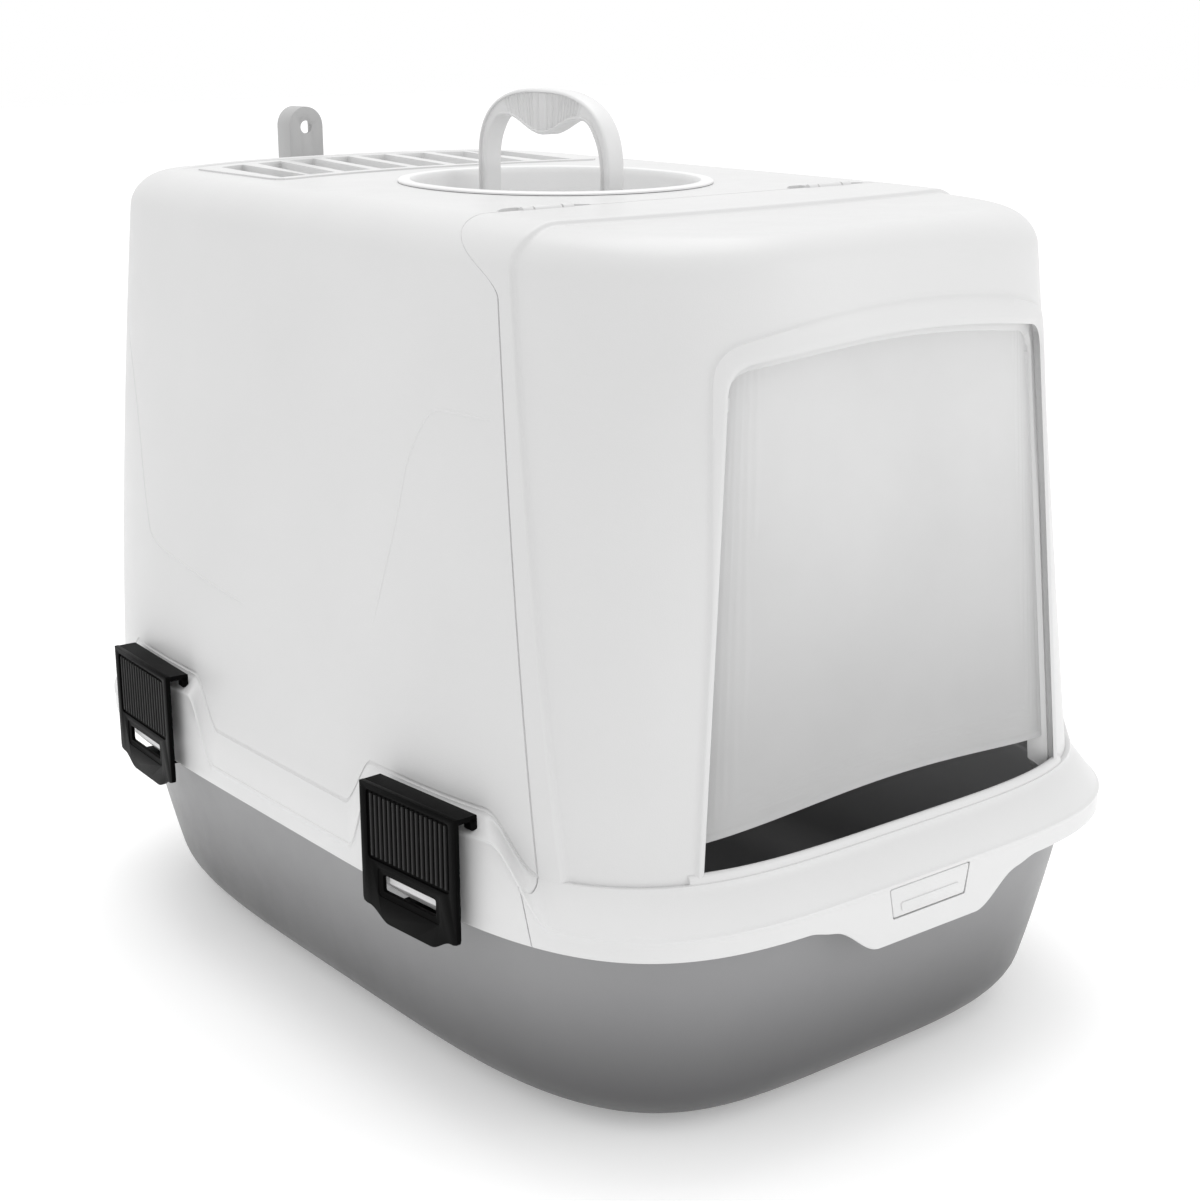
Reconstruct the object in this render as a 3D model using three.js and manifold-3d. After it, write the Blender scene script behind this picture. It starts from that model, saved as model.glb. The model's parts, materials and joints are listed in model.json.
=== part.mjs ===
// Hooded cat litter box: grey pan, white hood with a hinged front cover, swing door, side latches,
// folding carry handle, roof filter and litter scoop.
// Millimetres. +Z is up, the entrance faces -Y, the origin is on the floor under the plan centre.

import * as THREE from "three";
import { mergeVertices } from "three/addons/utils/BufferGeometryUtils.js";
import Module from "manifold-3d";

const wasm = await Module();
wasm.setup();

// ---------------------------------------------------------------- driving dimensions

const GAP = 0.3; // between pieces that touch
const WALL = 3; // moulded wall thickness
const PLAN_STEPS = 52; // points round a plan outline
const CIRCLE_STEPS = 16; // points round a small pin or hole
const WELL_STEPS = 40; // points round the handle well
const FAR = 400; // longer than any cut needs to be

// plan outlines: half width, front and rear reach along Y, and how square each end is
const RIM = { halfWidth: 198, front: -280, rear: 280, frontSquare: 4.34, rearSquare: 4.34 };
const HOOD_LOW = { halfWidth: 191.5, front: -264, rear: 264, frontSquare: 4.1, rearSquare: 4.7 };
const HOOD_HIGH = { halfWidth: 148.5, front: -257, rear: 262, frontSquare: 3.8, rearSquare: 8 };
const PAN_LOW = { halfWidth: 160.5, front: -241, rear: 241, frontSquare: 4.2, rearSquare: 4.2 };
const PAN_HIGH = { halfWidth: 184.7, front: -266.6, rear: 266.6, frontSquare: 4.3, rearSquare: 4.3 };

// heights
const PAN_FILLET = 26; // bottom corner radius
const PAN_HIGH_Z = 110.6; // height of PAN_HIGH
const PAN_TOP_Z = 118.7;
const PAN_LIP_Z = 111.2; // underside of the pan's turned-down lip
const PAN_FLARE = 0.75; // how fast the pan wall steepens
const SKIRT_Z = 110.6; // bottom edge of the hood's skirt
const SKIRT_CREASE_Z = 122;
const FLANGE_TOP_Z = 138; // where the skirt's flange meets the wall
const HOOD_LOW_Z = 150;
const HOOD_TOP_Z = 425.5;
const HOOD_FILLET = 20;
const LOBE_Z = 91.5; // lowest point of the front lobe

// front cover
const HINGE = { y: -104, z: 425, spread: 92, barrelRadius: 2.4, pinRadius: 1.2 };
const PARTING = { lowY: -206, lowZ: 125.4, lean: 0.2345, shoulderZ: 408 };
const CREASE = { lowY: -216.5, lowZ: 125.4, lean: 0.2465, depth: 2.2, topY: -155, topZ: 404 };
const OPENING = { sillZ: 143.7, sillHalf: 120.4, taper: 0.0855, topZ: 379, arch: 8, corner: 12 };
const FRAME = { border: 6, proud: 1.2, depth: 13 };
const DOOR = { inset: 8, thickness: 2.4, side: 2.5, top: 3, bottomZ: 155, bottomArch: 9 };
const DOOR_PIVOT = { y: -236.5, z: 352, pinRadius: 2, pinLength: 4.6, boreRadius: 2.5 };
const CATCH = { topHalf: 27, bottomHalf: 24, bottomZ: 104.5, topZ: 119.5, proud: 0.8, room: 0.6 };
const CATCH_NIB = { half: 18, lowZ: 105.5, highZ: 108.3, fromRim: 2, toRim: 5 };

// side latches
const LATCH = { width: 72, lowZ: 103, tongueZ: 97, topZ: 165.5, inner: 3.2, outer: 8.2, topInner: -5 };
const LATCH_PIVOT = { out: -2.8, z: 163, radius: 2 };
const LATCH_SLOT = { half: 20, lowZ: 113.2, highZ: 121.6 };
const LATCH_NIB = { reach: -6.5, half: 30, lowZ: 106, highZ: 109.8 };
const KEEPER = { half: 18.5, lowZ: 116.6, highZ: 120.8, root: -2, depth: 5.2 };
const LATCH_CENTRES_Y = { front: -139, rear: 129.5 };
const PAD_TOP_Z = 160; // top of the skirt's latch pads

// roof
const WELL = { halfX: 73, halfY: 81, y: 12, square: 2.15, floorZ: 387, draft: 2, rim: 4, rimHeight: 1.5 };
const WELL_SNAP = { half: 12, reach: 6, height: 2.6 };
const HANDLE = { y: 17.3, half: 58.8, leg: 7.8, thickness: 11, archZ: 432, topZ: 474, pivotZ: 404 };
const HANDLE_ARCH = { square: 2.6, steps: 24 };
const HANDLE_GRIP = { shoulder: 0.62, middle: 0.35, highZ: 459, dipZ: 450, corner: 8, foot: 5 };
const HANDLE_PIN = { radius: 3, length: 7, bore: 3.4 };
const POST = { radius: 8, thickness: 8, clearance: 1 };
const VENT = { half: 112, frontY: 130, frontArch: 18, rearY: 238, rearArch: 30, depth: 10 };
const SLOT = { count: 8, pitch: 26, width: 19, slant: 17 };
const FILTER = { half: 114, frontY: 113, rearY: 240, topZ: 415.2, height: 8, rib: 3 };

// scoop and its pocket on the rear wall
const SCOOP = { y: 272, depth: 15, handleHalf: 12, topZ: 455, holeZ: 442.5, holeRadius: 4, wall: 2 };
const BLADE = { half: 52, lowZ: 196, highZ: 292, slots: 7, slotHalf: 3, slotHeight: 52 };
const POCKET = { half: 58, lowZ: 190, highZ: 226, rear: 291, lip: 11, backRest: 268 };
const POCKET_PEG = { x: 40, z: 206, radius: 3 };

// ---------------------------------------------------------------- materials

function plastic(colour, roughness, opacity = 1) {
  return new THREE.MeshStandardMaterial({
    color: colour, roughness, metalness: 0, opacity, transparent: opacity < 1,
  });
}

const WHITE = plastic(0xe9e9e9, 0.45);
const GREY = plastic(0x8e8e8e, 0.4);
const BLACK = plastic(0x101010, 0.25);
const FROSTED = plastic(0xdadada, 0.5, 0.6);
const SCOOP_GREY = plastic(0xb0b0b0, 0.5);
const CARBON = plastic(0x1d1d1d, 0.95);

// ---------------------------------------------------------------- solids and booleans

function solid(geometry) {
  const bare = geometry.clone();
  bare.deleteAttribute("normal");
  bare.deleteAttribute("uv");
  const merged = mergeVertices(bare, 1e-4);
  const vertProperties = new Float32Array(merged.attributes.position.array);
  const triVerts = new Uint32Array(merged.index.array);
  const body = new wasm.Manifold(new wasm.Mesh({ numProp: 3, vertProperties, triVerts }));
  if (body.volume() > 0) {
    return body;
  }
  for (let i = 0; i < triVerts.length; i += 3) {
    [triVerts[i], triVerts[i + 1]] = [triVerts[i + 1], triVerts[i]];
  }
  return new wasm.Manifold(new wasm.Mesh({ numProp: 3, vertProperties, triVerts }));
}

function union(...bodies) {
  return bodies.reduce((all, body) => all.add(body));
}

function piece(name, body, material) {
  const mesh = body.getMesh();
  const geometry = new THREE.BufferGeometry();
  geometry.setAttribute("position", new THREE.BufferAttribute(new Float32Array(mesh.vertProperties), 3));
  geometry.setIndex(new THREE.BufferAttribute(new Uint32Array(mesh.triVerts), 1));
  geometry.computeVertexNormals();
  const node = new THREE.Mesh(geometry, material);
  node.name = name;
  return node;
}

function blend(low, high, share) {
  const mixed = {};
  for (const key of Object.keys(low)) {
    mixed[key] = low[key] + (high[key] - low[key]) * share;
  }
  return mixed;
}

function grown(plan, amount) {
  return {
    ...plan,
    halfWidth: plan.halfWidth + amount,
    front: plan.front - amount,
    rear: plan.rear + amount,
  };
}

// a point of a plan outline, a rounded rectangle whose two ends have their own squareness
function planPoint(plan, angle) {
  const side = Math.cos(angle);
  const end = Math.sin(angle);
  const power = 2 / (end < 0 ? plan.frontSquare : plan.rearSquare);
  const middle = (plan.front + plan.rear) / 2;
  const reach = (plan.rear - plan.front) / 2;
  const x = Math.sign(side) * Math.abs(side) ** power * plan.halfWidth;
  const y = middle + Math.sign(end) * Math.abs(end) ** power * reach;
  return new THREE.Vector2(x, y);
}

// a body lofted through plan outlines, made as a lathe whose rings are pushed out to them
function loft(stations, steps = PLAN_STEPS) {
  const last = stations.length - 1;
  const ends = [new THREE.Vector2(0, 0), new THREE.Vector2(0, last)];
  const profile = [ends[0], ...stations.map((_, level) => new THREE.Vector2(1, level)), ends[1]];
  const lathe = new THREE.LatheGeometry(profile, steps);
  const position = lathe.attributes.position;
  for (let i = 0; i < position.count; i += 1) {
    const { plan, z } = stations[Math.round(position.getY(i))];
    const onRing = Math.hypot(position.getX(i), position.getZ(i)) > 0.5;
    const angle = Math.atan2(position.getX(i), position.getZ(i));
    const middle = new THREE.Vector2(0, (plan.front + plan.rear) / 2);
    const point = onRing ? planPoint(plan, angle) : middle;
    position.setXYZ(i, point.x, point.y, z);
  }
  return solid(lathe);
}

function shapeOf(points) {
  return new THREE.Shape(points.map(([u, v]) => new THREE.Vector2(u, v)));
}

function extruded(shape, depth, basis, origin) {
  const geometry = new THREE.ExtrudeGeometry(shape, { depth, bevelEnabled: false, curveSegments: 6 });
  const frame = new THREE.Matrix4().makeBasis(...basis);
  frame.setPosition(...origin);
  geometry.applyMatrix4(frame);
  return solid(geometry);
}

const X_AXIS = new THREE.Vector3(1, 0, 0);
const Y_AXIS = new THREE.Vector3(0, 1, 0);
const Z_AXIS = new THREE.Vector3(0, 0, 1);

// a (y, z) outline swept along X
function alongX(shape, from, to) {
  return extruded(shape, to - from, [Y_AXIS, Z_AXIS, X_AXIS], [from, 0, 0]);
}

// an (x, z) outline swept along Y
function alongY(shape, from, to) {
  return extruded(shape, to - from, [X_AXIS, Z_AXIS, Y_AXIS.clone().negate()], [0, to, 0]);
}

// an (x, y) outline swept along Z
function alongZ(shape, from, to) {
  return extruded(shape, to - from, [X_AXIS, Y_AXIS, Z_AXIS], [0, 0, from]);
}

function box(xs, ys, zs) {
  const sizes = [xs, ys, zs].map(([low, high]) => high - low);
  const centre = [xs, ys, zs].map(([low, high]) => (low + high) / 2);
  const geometry = new THREE.BoxGeometry(...sizes);
  geometry.translate(...centre);
  return solid(geometry);
}

function rod(radius, from, to) {
  const start = new THREE.Vector3(...from);
  const span = new THREE.Vector3(...to).sub(start);
  const geometry = new THREE.CylinderGeometry(radius, radius, span.length(), CIRCLE_STEPS);
  const turn = new THREE.Quaternion().setFromUnitVectors(Y_AXIS, span.clone().normalize());
  geometry.applyQuaternion(turn);
  geometry.translate(...start.addScaledVector(span, 0.5));
  return solid(geometry);
}

// ---------------------------------------------------------------- shared surfaces of the hood

function hoodPlan(z, offset) {
  const share = (z - HOOD_LOW_Z) / (HOOD_TOP_Z - HOOD_LOW_Z);
  return grown(blend(HOOD_LOW, HOOD_HIGH, share), offset);
}

// the hood's walls and roof, grown outwards by offset, from the given height up
function hoodBody(offset, fromZ = FLANGE_TOP_Z - 10) {
  const top = HOOD_TOP_Z + offset;
  const bend = HOOD_FILLET + Math.min(offset, 0);
  const stations = [{ z: fromZ, plan: hoodPlan(fromZ, offset) }];
  for (let step = 0; step <= 5; step += 1) {
    const turn = (step / 5) * (Math.PI / 2);
    const z = top - bend + bend * Math.sin(turn);
    stations.push({ z, plan: hoodPlan(z, offset - bend * (1 - Math.cos(turn))) });
  }
  return loft(stations);
}

// the skirt below the walls with its sloping flange, shrunk inwards by inset
function skirtBody(inset, lowZ) {
  return loft([
    { z: lowZ, plan: grown(RIM, -inset) },
    { z: SKIRT_CREASE_Z - inset, plan: grown(RIM, -inset - 0.3) },
    { z: FLANGE_TOP_Z - inset, plan: hoodPlan(FLANGE_TOP_Z, 1 - inset) },
  ]);
}

// a tall band of the rim outline, from which the latch pads and the lobe are taken
function rimBand(inset, lowZ, highZ) {
  return loft([
    { z: lowZ, plan: grown(RIM, -inset) },
    { z: highZ, plan: grown(RIM, -inset - 1) },
  ]);
}

// side view of one latch pad with its sloping shoulders
function padOutline(centreY, inset) {
  const top = PAD_TOP_Z - inset;
  const half = LATCH.width / 2 + 8 - inset;
  return shapeOf([
    [centreY - half - 20, 100],
    [centreY - half - 15, 126 - inset],
    [centreY - half - 8, 140 - inset],
    [centreY - half, top],
    [centreY + half, top],
    [centreY + half + 8, 140 - inset],
    [centreY + half + 15, 126 - inset],
    [centreY + half + 20, 100],
  ]);
}

function latchPads(inset, lowZ) {
  const band = rimBand(inset, lowZ, PAD_TOP_Z + 1);
  const sides = Object.values(LATCH_CENTRES_Y).map((y) => alongX(padOutline(y, inset), -FAR, FAR));
  return band.intersect(union(...sides));
}

function lobe(inset, lowZ) {
  const half = 36 - inset * 0.6;
  const outline = shapeOf([
    [-half - 40, SKIRT_CREASE_Z - 4],
    [-half - 40, SKIRT_Z],
    [-half - 27, SKIRT_Z - 3],
    [-half - 5, lowZ + 2],
    [-half + 4, lowZ],
    [half - 4, lowZ],
    [half + 5, lowZ + 2],
    [half + 27, SKIRT_Z - 3],
    [half + 40, SKIRT_Z],
    [half + 40, SKIRT_CREASE_Z - 4],
  ]);
  return rimBand(inset, lowZ - 1, SKIRT_CREASE_Z).intersect(alongY(outline, -300, -200));
}

// the whole hood, front cover included, as one hollow shell
function wholeShell() {
  const outer = union(hoodBody(0), skirtBody(0, SKIRT_Z), latchPads(0, SKIRT_Z), lobe(0, LOBE_Z));
  const below = SKIRT_Z - 30;
  const inner = union(hoodBody(-WALL), skirtBody(WALL - 0.4, below), latchPads(WALL, below));
  return outer.subtract(inner);
}

function leanY(line, z) {
  return line.lowY + (z - line.lowZ) * line.lean;
}

// everything in front of the line where the cover meets the hood, moved forwards by gap
function partingZone(gap) {
  const { shoulderZ } = PARTING;
  const outline = new THREE.Shape();
  outline.moveTo(-FAR, 0);
  outline.lineTo(leanY(PARTING, 60) - gap, 60);
  outline.lineTo(leanY(PARTING, shoulderZ) - gap, shoulderZ);
  outline.quadraticCurveTo(leanY(PARTING, 416) - gap, 418, HINGE.y - gap, 421);
  outline.lineTo(HINGE.y - gap, 500);
  outline.lineTo(-FAR, 500);
  return alongX(outline, -FAR, FAR);
}

// everything in front of the step that borders the cover's face
function faceZone() {
  const outline = new THREE.Shape();
  outline.moveTo(-FAR, FLANGE_TOP_Z + 1);
  outline.lineTo(leanY(CREASE, FLANGE_TOP_Z + 1) - 6, FLANGE_TOP_Z + 1);
  outline.lineTo(leanY(CREASE, HOOD_LOW_Z), HOOD_LOW_Z);
  outline.lineTo(leanY(CREASE, CREASE.topZ), CREASE.topZ);
  outline.lineTo(CREASE.topY, 420);
  outline.lineTo(CREASE.topY, 500);
  outline.lineTo(-FAR, 500);
  return alongX(outline, -FAR, FAR);
}

// ---------------------------------------------------------------- base pan

function panPlan(z, inset) {
  const wall = blend(PAN_LOW, PAN_HIGH, (z / PAN_HIGH_Z) ** PAN_FLARE);
  return grown(wall, -inset);
}

function panBody(inset, topZ) {
  const stations = [];
  const bend = PAN_FILLET - inset;
  for (let step = 0; step <= 4; step += 1) {
    const turn = (step / 4) * (Math.PI / 2);
    const z = inset + bend * (1 - Math.cos(turn));
    stations.push({ z, plan: panPlan(z, inset + bend * (1 - Math.sin(turn))) });
  }
  for (const z of [56, 84, topZ]) {
    stations.push({ z, plan: panPlan(z, inset) });
  }
  return loft(stations);
}

function basePan() {
  const lipPlan = grown(RIM, -4);
  const lip = loft([{ z: PAN_LIP_Z, plan: lipPlan }, { z: PAN_TOP_Z, plan: lipPlan }]);
  const hollowPlan = grown(lipPlan, -2.5);
  const under = loft([{ z: PAN_LIP_Z - 5, plan: hollowPlan }, { z: PAN_TOP_Z - 2.5, plan: hollowPlan }]);
  const shell = panBody(0, PAN_TOP_Z);
  const rim = lip.subtract(under);
  return union(shell, rim).subtract(panBody(WALL, PAN_TOP_Z + 1));
}

// ---------------------------------------------------------------- roof details

function wellPlan(draft) {
  return {
    halfWidth: WELL.halfX - draft,
    front: WELL.y - WELL.halfY + draft,
    rear: WELL.y + WELL.halfY - draft,
    frontSquare: WELL.square,
    rearSquare: WELL.square,
  };
}

function wellBody(wall) {
  return loft([
    { z: WELL.floorZ - wall, plan: wellPlan(WELL.draft - wall) },
    { z: HOOD_TOP_Z + (wall > 0 ? 1 : 5), plan: wellPlan(-wall) },
  ], WELL_STEPS);
}

// the two posts that carry the handle's pins
function handlePosts() {
  const { radius, thickness, clearance } = POST;
  const inner = HANDLE.half + clearance;
  const posts = [-1, 1].map((end) => {
    const near = HANDLE.y + end * inner;
    const far = near + end * thickness;
    const outline = new THREE.Shape();
    outline.moveTo(-radius - 1, WELL.floorZ - 1);
    outline.lineTo(radius + 1, WELL.floorZ - 1);
    outline.lineTo(radius, HANDLE.pivotZ);
    outline.absarc(0, HANDLE.pivotZ, radius, 0, Math.PI, false);
    const post = alongY(outline, Math.min(near, far), Math.max(near, far));
    const bore = rod(HANDLE_PIN.bore, [0, near - end, HANDLE.pivotZ], [0, far + end, HANDLE.pivotZ]);
    return post.subtract(bore);
  });
  return union(...posts);
}

function wellHole() {
  const plan = wellPlan(-WALL - GAP);
  return loft([{ z: HOOD_TOP_Z - 2 * WALL, plan }, { z: HOOD_TOP_Z + WALL, plan }], WELL_STEPS);
}

// the cup that drops into the roof, with a rim on the roof and two snaps under it
function handleWell() {
  const rimLow = HOOD_TOP_Z + GAP;
  const rimPlan = wellPlan(-WALL - WELL.rim);
  const rim = loft([{ z: rimLow, plan: rimPlan }, { z: rimLow + WELL.rimHeight, plan: rimPlan }], WELL_STEPS);
  const snapTop = HOOD_TOP_Z - WALL - GAP;
  const reach = WELL.halfX + WELL_SNAP.reach;
  const sides = [WELL.y - WELL_SNAP.half, WELL.y + WELL_SNAP.half];
  const snaps = box([-reach, reach], sides, [snapTop - WELL_SNAP.height, snapTop]);
  const cup = union(wellBody(WALL), rim, snaps).subtract(wellBody(0));
  return union(cup, handlePosts());
}

function ventY(edgeY, arch, x) {
  return edgeY + arch * (1 - (x / VENT.half) ** 2);
}

// plan outline of the vent field between x = low and x = high, slanted back by slant
function ventOutline(low, high, slant, margin) {
  const front = (x) => ventY(VENT.frontY - VENT.frontArch, VENT.frontArch, x) + margin;
  const rear = (x) => ventY(VENT.rearY - VENT.rearArch, VENT.rearArch, x) - margin;
  const shares = [0, 0.5, 1];
  const frontEdge = shares.map((share) => {
    const x = low + (high - low) * share;
    return [x - slant / 2, front(x)];
  });
  const rearEdge = shares.map((share) => {
    const x = high + (low - high) * share;
    return [x + slant / 2, rear(x)];
  });
  return shapeOf([...frontEdge, ...rearEdge]);
}

function ventField() {
  const outline = ventOutline(-VENT.half, VENT.half, 0, 0);
  return alongZ(outline, HOOD_TOP_Z - VENT.depth, HOOD_TOP_Z - 1);
}

function ventSlots() {
  const slots = [];
  for (let index = 0; index < SLOT.count; index += 1) {
    const x = (index - (SLOT.count - 1) / 2) * SLOT.pitch;
    const slant = Math.abs(x) > 80 ? SLOT.slant * 0.5 : SLOT.slant;
    const outline = ventOutline(x - SLOT.width / 2, x + SLOT.width / 2, slant, 7);
    slots.push(alongZ(outline, HOOD_TOP_Z - VENT.depth - 5, HOOD_TOP_Z + 5));
  }
  return union(...slots);
}

// ---------------------------------------------------------------- cover hinge

function hingeRods(radius, segments) {
  const rods = [];
  for (const side of [-1, 1]) {
    for (const [from, to] of segments) {
      const centre = side * HINGE.spread;
      rods.push(rod(radius, [centre + from, HINGE.y, HINGE.z], [centre + to, HINGE.y, HINGE.z]));
    }
  }
  return union(...rods);
}

const BARREL = [[-8, 8]];
const EARS = [[-15, -8.6], [8.6, 15]];
const EAR_ROOM = [[-15.6, -8.3], [8.3, 15.6]];
const BARREL_ROOM = [[-8.3, 8.3]];
const PINS = [[-14, 14]];

// ---------------------------------------------------------------- latch placement

function rimX(y) {
  return RIM.halfWidth * (1 - (Math.abs(y) / RIM.rear) ** RIM.rearSquare) ** (1 / RIM.rearSquare);
}

// places a body modelled with +X outwards, +Y along the rim and Z up on the rim at height 0
function onRim(body, centreY, side) {
  const half = LATCH.width / 2;
  const turn = Math.atan2(rimX(centreY - half) - rimX(centreY + half), LATCH.width);
  const x = (rimX(centreY - half) + rimX(centreY + half)) / 2 + 0.9;
  const turned = body.rotate([0, 0, THREE.MathUtils.radToDeg(turn)]).translate([x, centreY, 0]);
  return side > 0 ? turned : turned.mirror([1, 0, 0]);
}

// a block on each pad that shows through the latch's slot
function latchKeeper() {
  const { half, lowZ, highZ, root, depth } = KEEPER;
  return box([root, depth], [-half, half], [lowZ, highZ]);
}

function forEachLatch(make) {
  const made = [];
  for (const [end, centreY] of Object.entries(LATCH_CENTRES_Y)) {
    for (const [hand, side] of [["left", -1], ["right", 1]]) {
      made.push(make(`${end}_${hand}`, centreY, side));
    }
  }
  return made;
}

// ---------------------------------------------------------------- hood

function pocketPegs(radius) {
  const { x, z } = POCKET_PEG;
  const pegs = [-x, x].map((at) => rod(radius, [at, HOOD_LOW.rear - 2 * WALL, z], [at, POCKET.backRest, z]));
  return union(...pegs);
}

// the open-topped tray behind the rear wall that the scoop stands in, held by two pegs
function scoopPocket() {
  const { half, lowZ, highZ, rear, lip, backRest } = POCKET;
  const above = highZ + WALL;
  const outside = box([-half, half], [HOOD_LOW.rear / 2, rear], [lowZ, highZ]);
  const inside = box([-half + WALL, half - WALL], [backRest, rear - WALL + 0.5], [lowZ + WALL, above]);
  const windowHalf = half - WALL - lip;
  const window = box([-windowHalf, windowHalf], [SCOOP.y, rear + WALL], [lowZ + 4 * WALL, above]);
  const tray = outside.subtract(inside).subtract(window).subtract(hoodBody(GAP));
  return union(tray, pocketPegs(POCKET_PEG.radius));
}

function hood(shell) {
  const keepers = forEachLatch((_, centreY, side) => onRim(latchKeeper(), centreY, side));
  const outside = union(...keepers).subtract(hoodBody(-WALL, SKIRT_Z));
  const roof = union(shell, ventField(), outside).subtract(wellHole());
  const rear = roof.subtract(union(ventSlots(), pocketPegs(POCKET_PEG.radius + GAP), partingZone(-1)));
  const hinged = union(rear, hingeRods(HINGE.barrelRadius, EARS));
  const cleared = hinged.subtract(hingeRods(HINGE.barrelRadius + 2 * GAP, BARREL_ROOM));
  return cleared.subtract(hingeRods(HINGE.pinRadius + GAP, PINS));
}

// ---------------------------------------------------------------- front cover

function openingHalf(z) {
  return OPENING.sillHalf - (z - OPENING.sillZ) * OPENING.taper;
}

function openingTop(x) {
  return OPENING.topZ - OPENING.arch * (x / 95) ** 2;
}

// the doorway outline in front view, grown by margin, with its foot at the given height
function doorway(margin, footZ, footArch = 0) {
  const shoulderZ = openingTop(90) - OPENING.corner + margin;
  const half = openingHalf(shoulderZ) + margin;
  const outline = new THREE.Shape();
  outline.moveTo(-openingHalf(footZ) - margin, footZ);
  outline.quadraticCurveTo(0, footZ + 2 * footArch, openingHalf(footZ) + margin, footZ);
  outline.lineTo(half, shoulderZ);
  outline.quadraticCurveTo(half - 1, openingTop(90) + margin, half - OPENING.corner, openingTop(84) + margin);
  outline.quadraticCurveTo(0, 2 * OPENING.topZ - openingTop(84) + margin, -half + OPENING.corner,
    openingTop(84) + margin);
  outline.quadraticCurveTo(-half + 1, openingTop(90) + margin, -half, shoulderZ);
  return outline;
}

function frontBand(shape) {
  return alongY(shape, -300, -150);
}

// the raised border round the doorway and its return into the hood
function doorFrame() {
  const ring = frontBand(doorway(FRAME.border, OPENING.sillZ - 4));
  const skin = hoodBody(FRAME.proud - CREASE.depth).subtract(hoodBody(-FRAME.depth));
  return ring.intersect(skin);
}

function doorBores() {
  const { y, z, boreRadius } = DOOR_PIVOT;
  const reach = openingHalf(z) + 4;
  return rod(boreRadius, [-reach, y, z], [reach, y, z]);
}

function catchOutline(margin) {
  return shapeOf([
    [-CATCH.bottomHalf - margin, CATCH.bottomZ - margin],
    [CATCH.bottomHalf + margin, CATCH.bottomZ - margin],
    [CATCH.topHalf + margin, CATCH.topZ + margin],
    [-CATCH.topHalf - margin, CATCH.topZ + margin],
  ]);
}

function frontCover(shell) {
  const zone = partingZone(GAP);
  const face = faceZone();
  const stepped = hoodBody(1).subtract(hoodBody(-CREASE.depth)).intersect(face);
  const lining = hoodBody(-CREASE.depth).subtract(hoodBody(-CREASE.depth - WALL)).intersect(face);
  const cover = union(shell.subtract(stepped), lining).intersect(zone);
  const doorwayCut = frontBand(doorway(0, OPENING.sillZ));
  const framed = union(cover, doorFrame()).subtract(doorwayCut).subtract(doorBores());
  const lobed = framed.subtract(frontBand(catchOutline(CATCH.room)));
  const cleared = lobed.subtract(hingeRods(HINGE.barrelRadius + 2 * GAP, EAR_ROOM));
  return union(cleared, hingeRods(HINGE.barrelRadius, BARREL), hingeRods(HINGE.pinRadius, PINS));
}

function frontCatch() {
  const tab = frontBand(catchOutline(0)).intersect(
    rimBand(-CATCH.proud, LOBE_Z, SKIRT_CREASE_Z).subtract(rimBand(WALL, LOBE_Z - 1, SKIRT_CREASE_Z + 1)),
  );
  const { half, lowZ, highZ, fromRim, toRim } = CATCH_NIB;
  return union(tab, box([-half, half], [RIM.front + fromRim, RIM.front + toRim], [lowZ, highZ]));
}

function swingDoor() {
  const outline = doorway(-DOOR.side, DOOR.bottomZ, DOOR.bottomArch);
  const skin = hoodBody(-DOOR.inset).subtract(hoodBody(-DOOR.inset - DOOR.thickness));
  const top = box([-FAR, FAR], [-FAR, FAR], [0, OPENING.topZ - DOOR.top + 1]);
  const panel = frontBand(outline).intersect(skin).intersect(top);
  const { y, z, pinRadius, pinLength } = DOOR_PIVOT;
  const edge = openingHalf(z) - DOOR.side;
  const pins = [-1, 1].map((side) => (
    rod(pinRadius, [side * (edge - 6), y, z], [side * (edge + pinLength), y, z])
  ));
  return union(panel, ...pins);
}

// ---------------------------------------------------------------- latches

function latchOutline() {
  const half = LATCH.width / 2;
  const outline = new THREE.Shape();
  outline.moveTo(-half, LATCH.topZ);
  outline.lineTo(-half, LATCH.lowZ + 3);
  outline.quadraticCurveTo(-half, LATCH.lowZ, -half + 4, LATCH.lowZ);
  outline.quadraticCurveTo(-half / 2 - 4, LATCH.tongueZ, 0, LATCH.tongueZ);
  outline.quadraticCurveTo(half / 2 + 4, LATCH.tongueZ, half - 4, LATCH.lowZ);
  outline.quadraticCurveTo(half, LATCH.lowZ, half, LATCH.lowZ + 3);
  outline.lineTo(half, LATCH.topZ);
  const slot = new THREE.Path();
  slot.moveTo(-LATCH_SLOT.half, LATCH_SLOT.lowZ);
  slot.lineTo(LATCH_SLOT.half, LATCH_SLOT.lowZ);
  slot.lineTo(LATCH_SLOT.half, LATCH_SLOT.highZ);
  slot.lineTo(-LATCH_SLOT.half, LATCH_SLOT.highZ);
  outline.holes.push(slot);
  return outline;
}

function latch() {
  const half = LATCH.width / 2;
  const plate = alongX(latchOutline(), LATCH.inner, LATCH.outer);
  const top = box([LATCH.topInner, LATCH.outer], [-half, half], [LATCH.topZ - 4, LATCH.topZ]);
  const { out, z, radius } = LATCH_PIVOT;
  const barrel = rod(radius, [out, -half, z], [out, half, z]);
  const nib = box([LATCH_NIB.reach, LATCH.inner + 1], [-LATCH_NIB.half, LATCH_NIB.half],
    [LATCH_NIB.lowZ, LATCH_NIB.highZ]);
  return union(plate, top, barrel, nib);
}

// ---------------------------------------------------------------- carry handle

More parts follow.
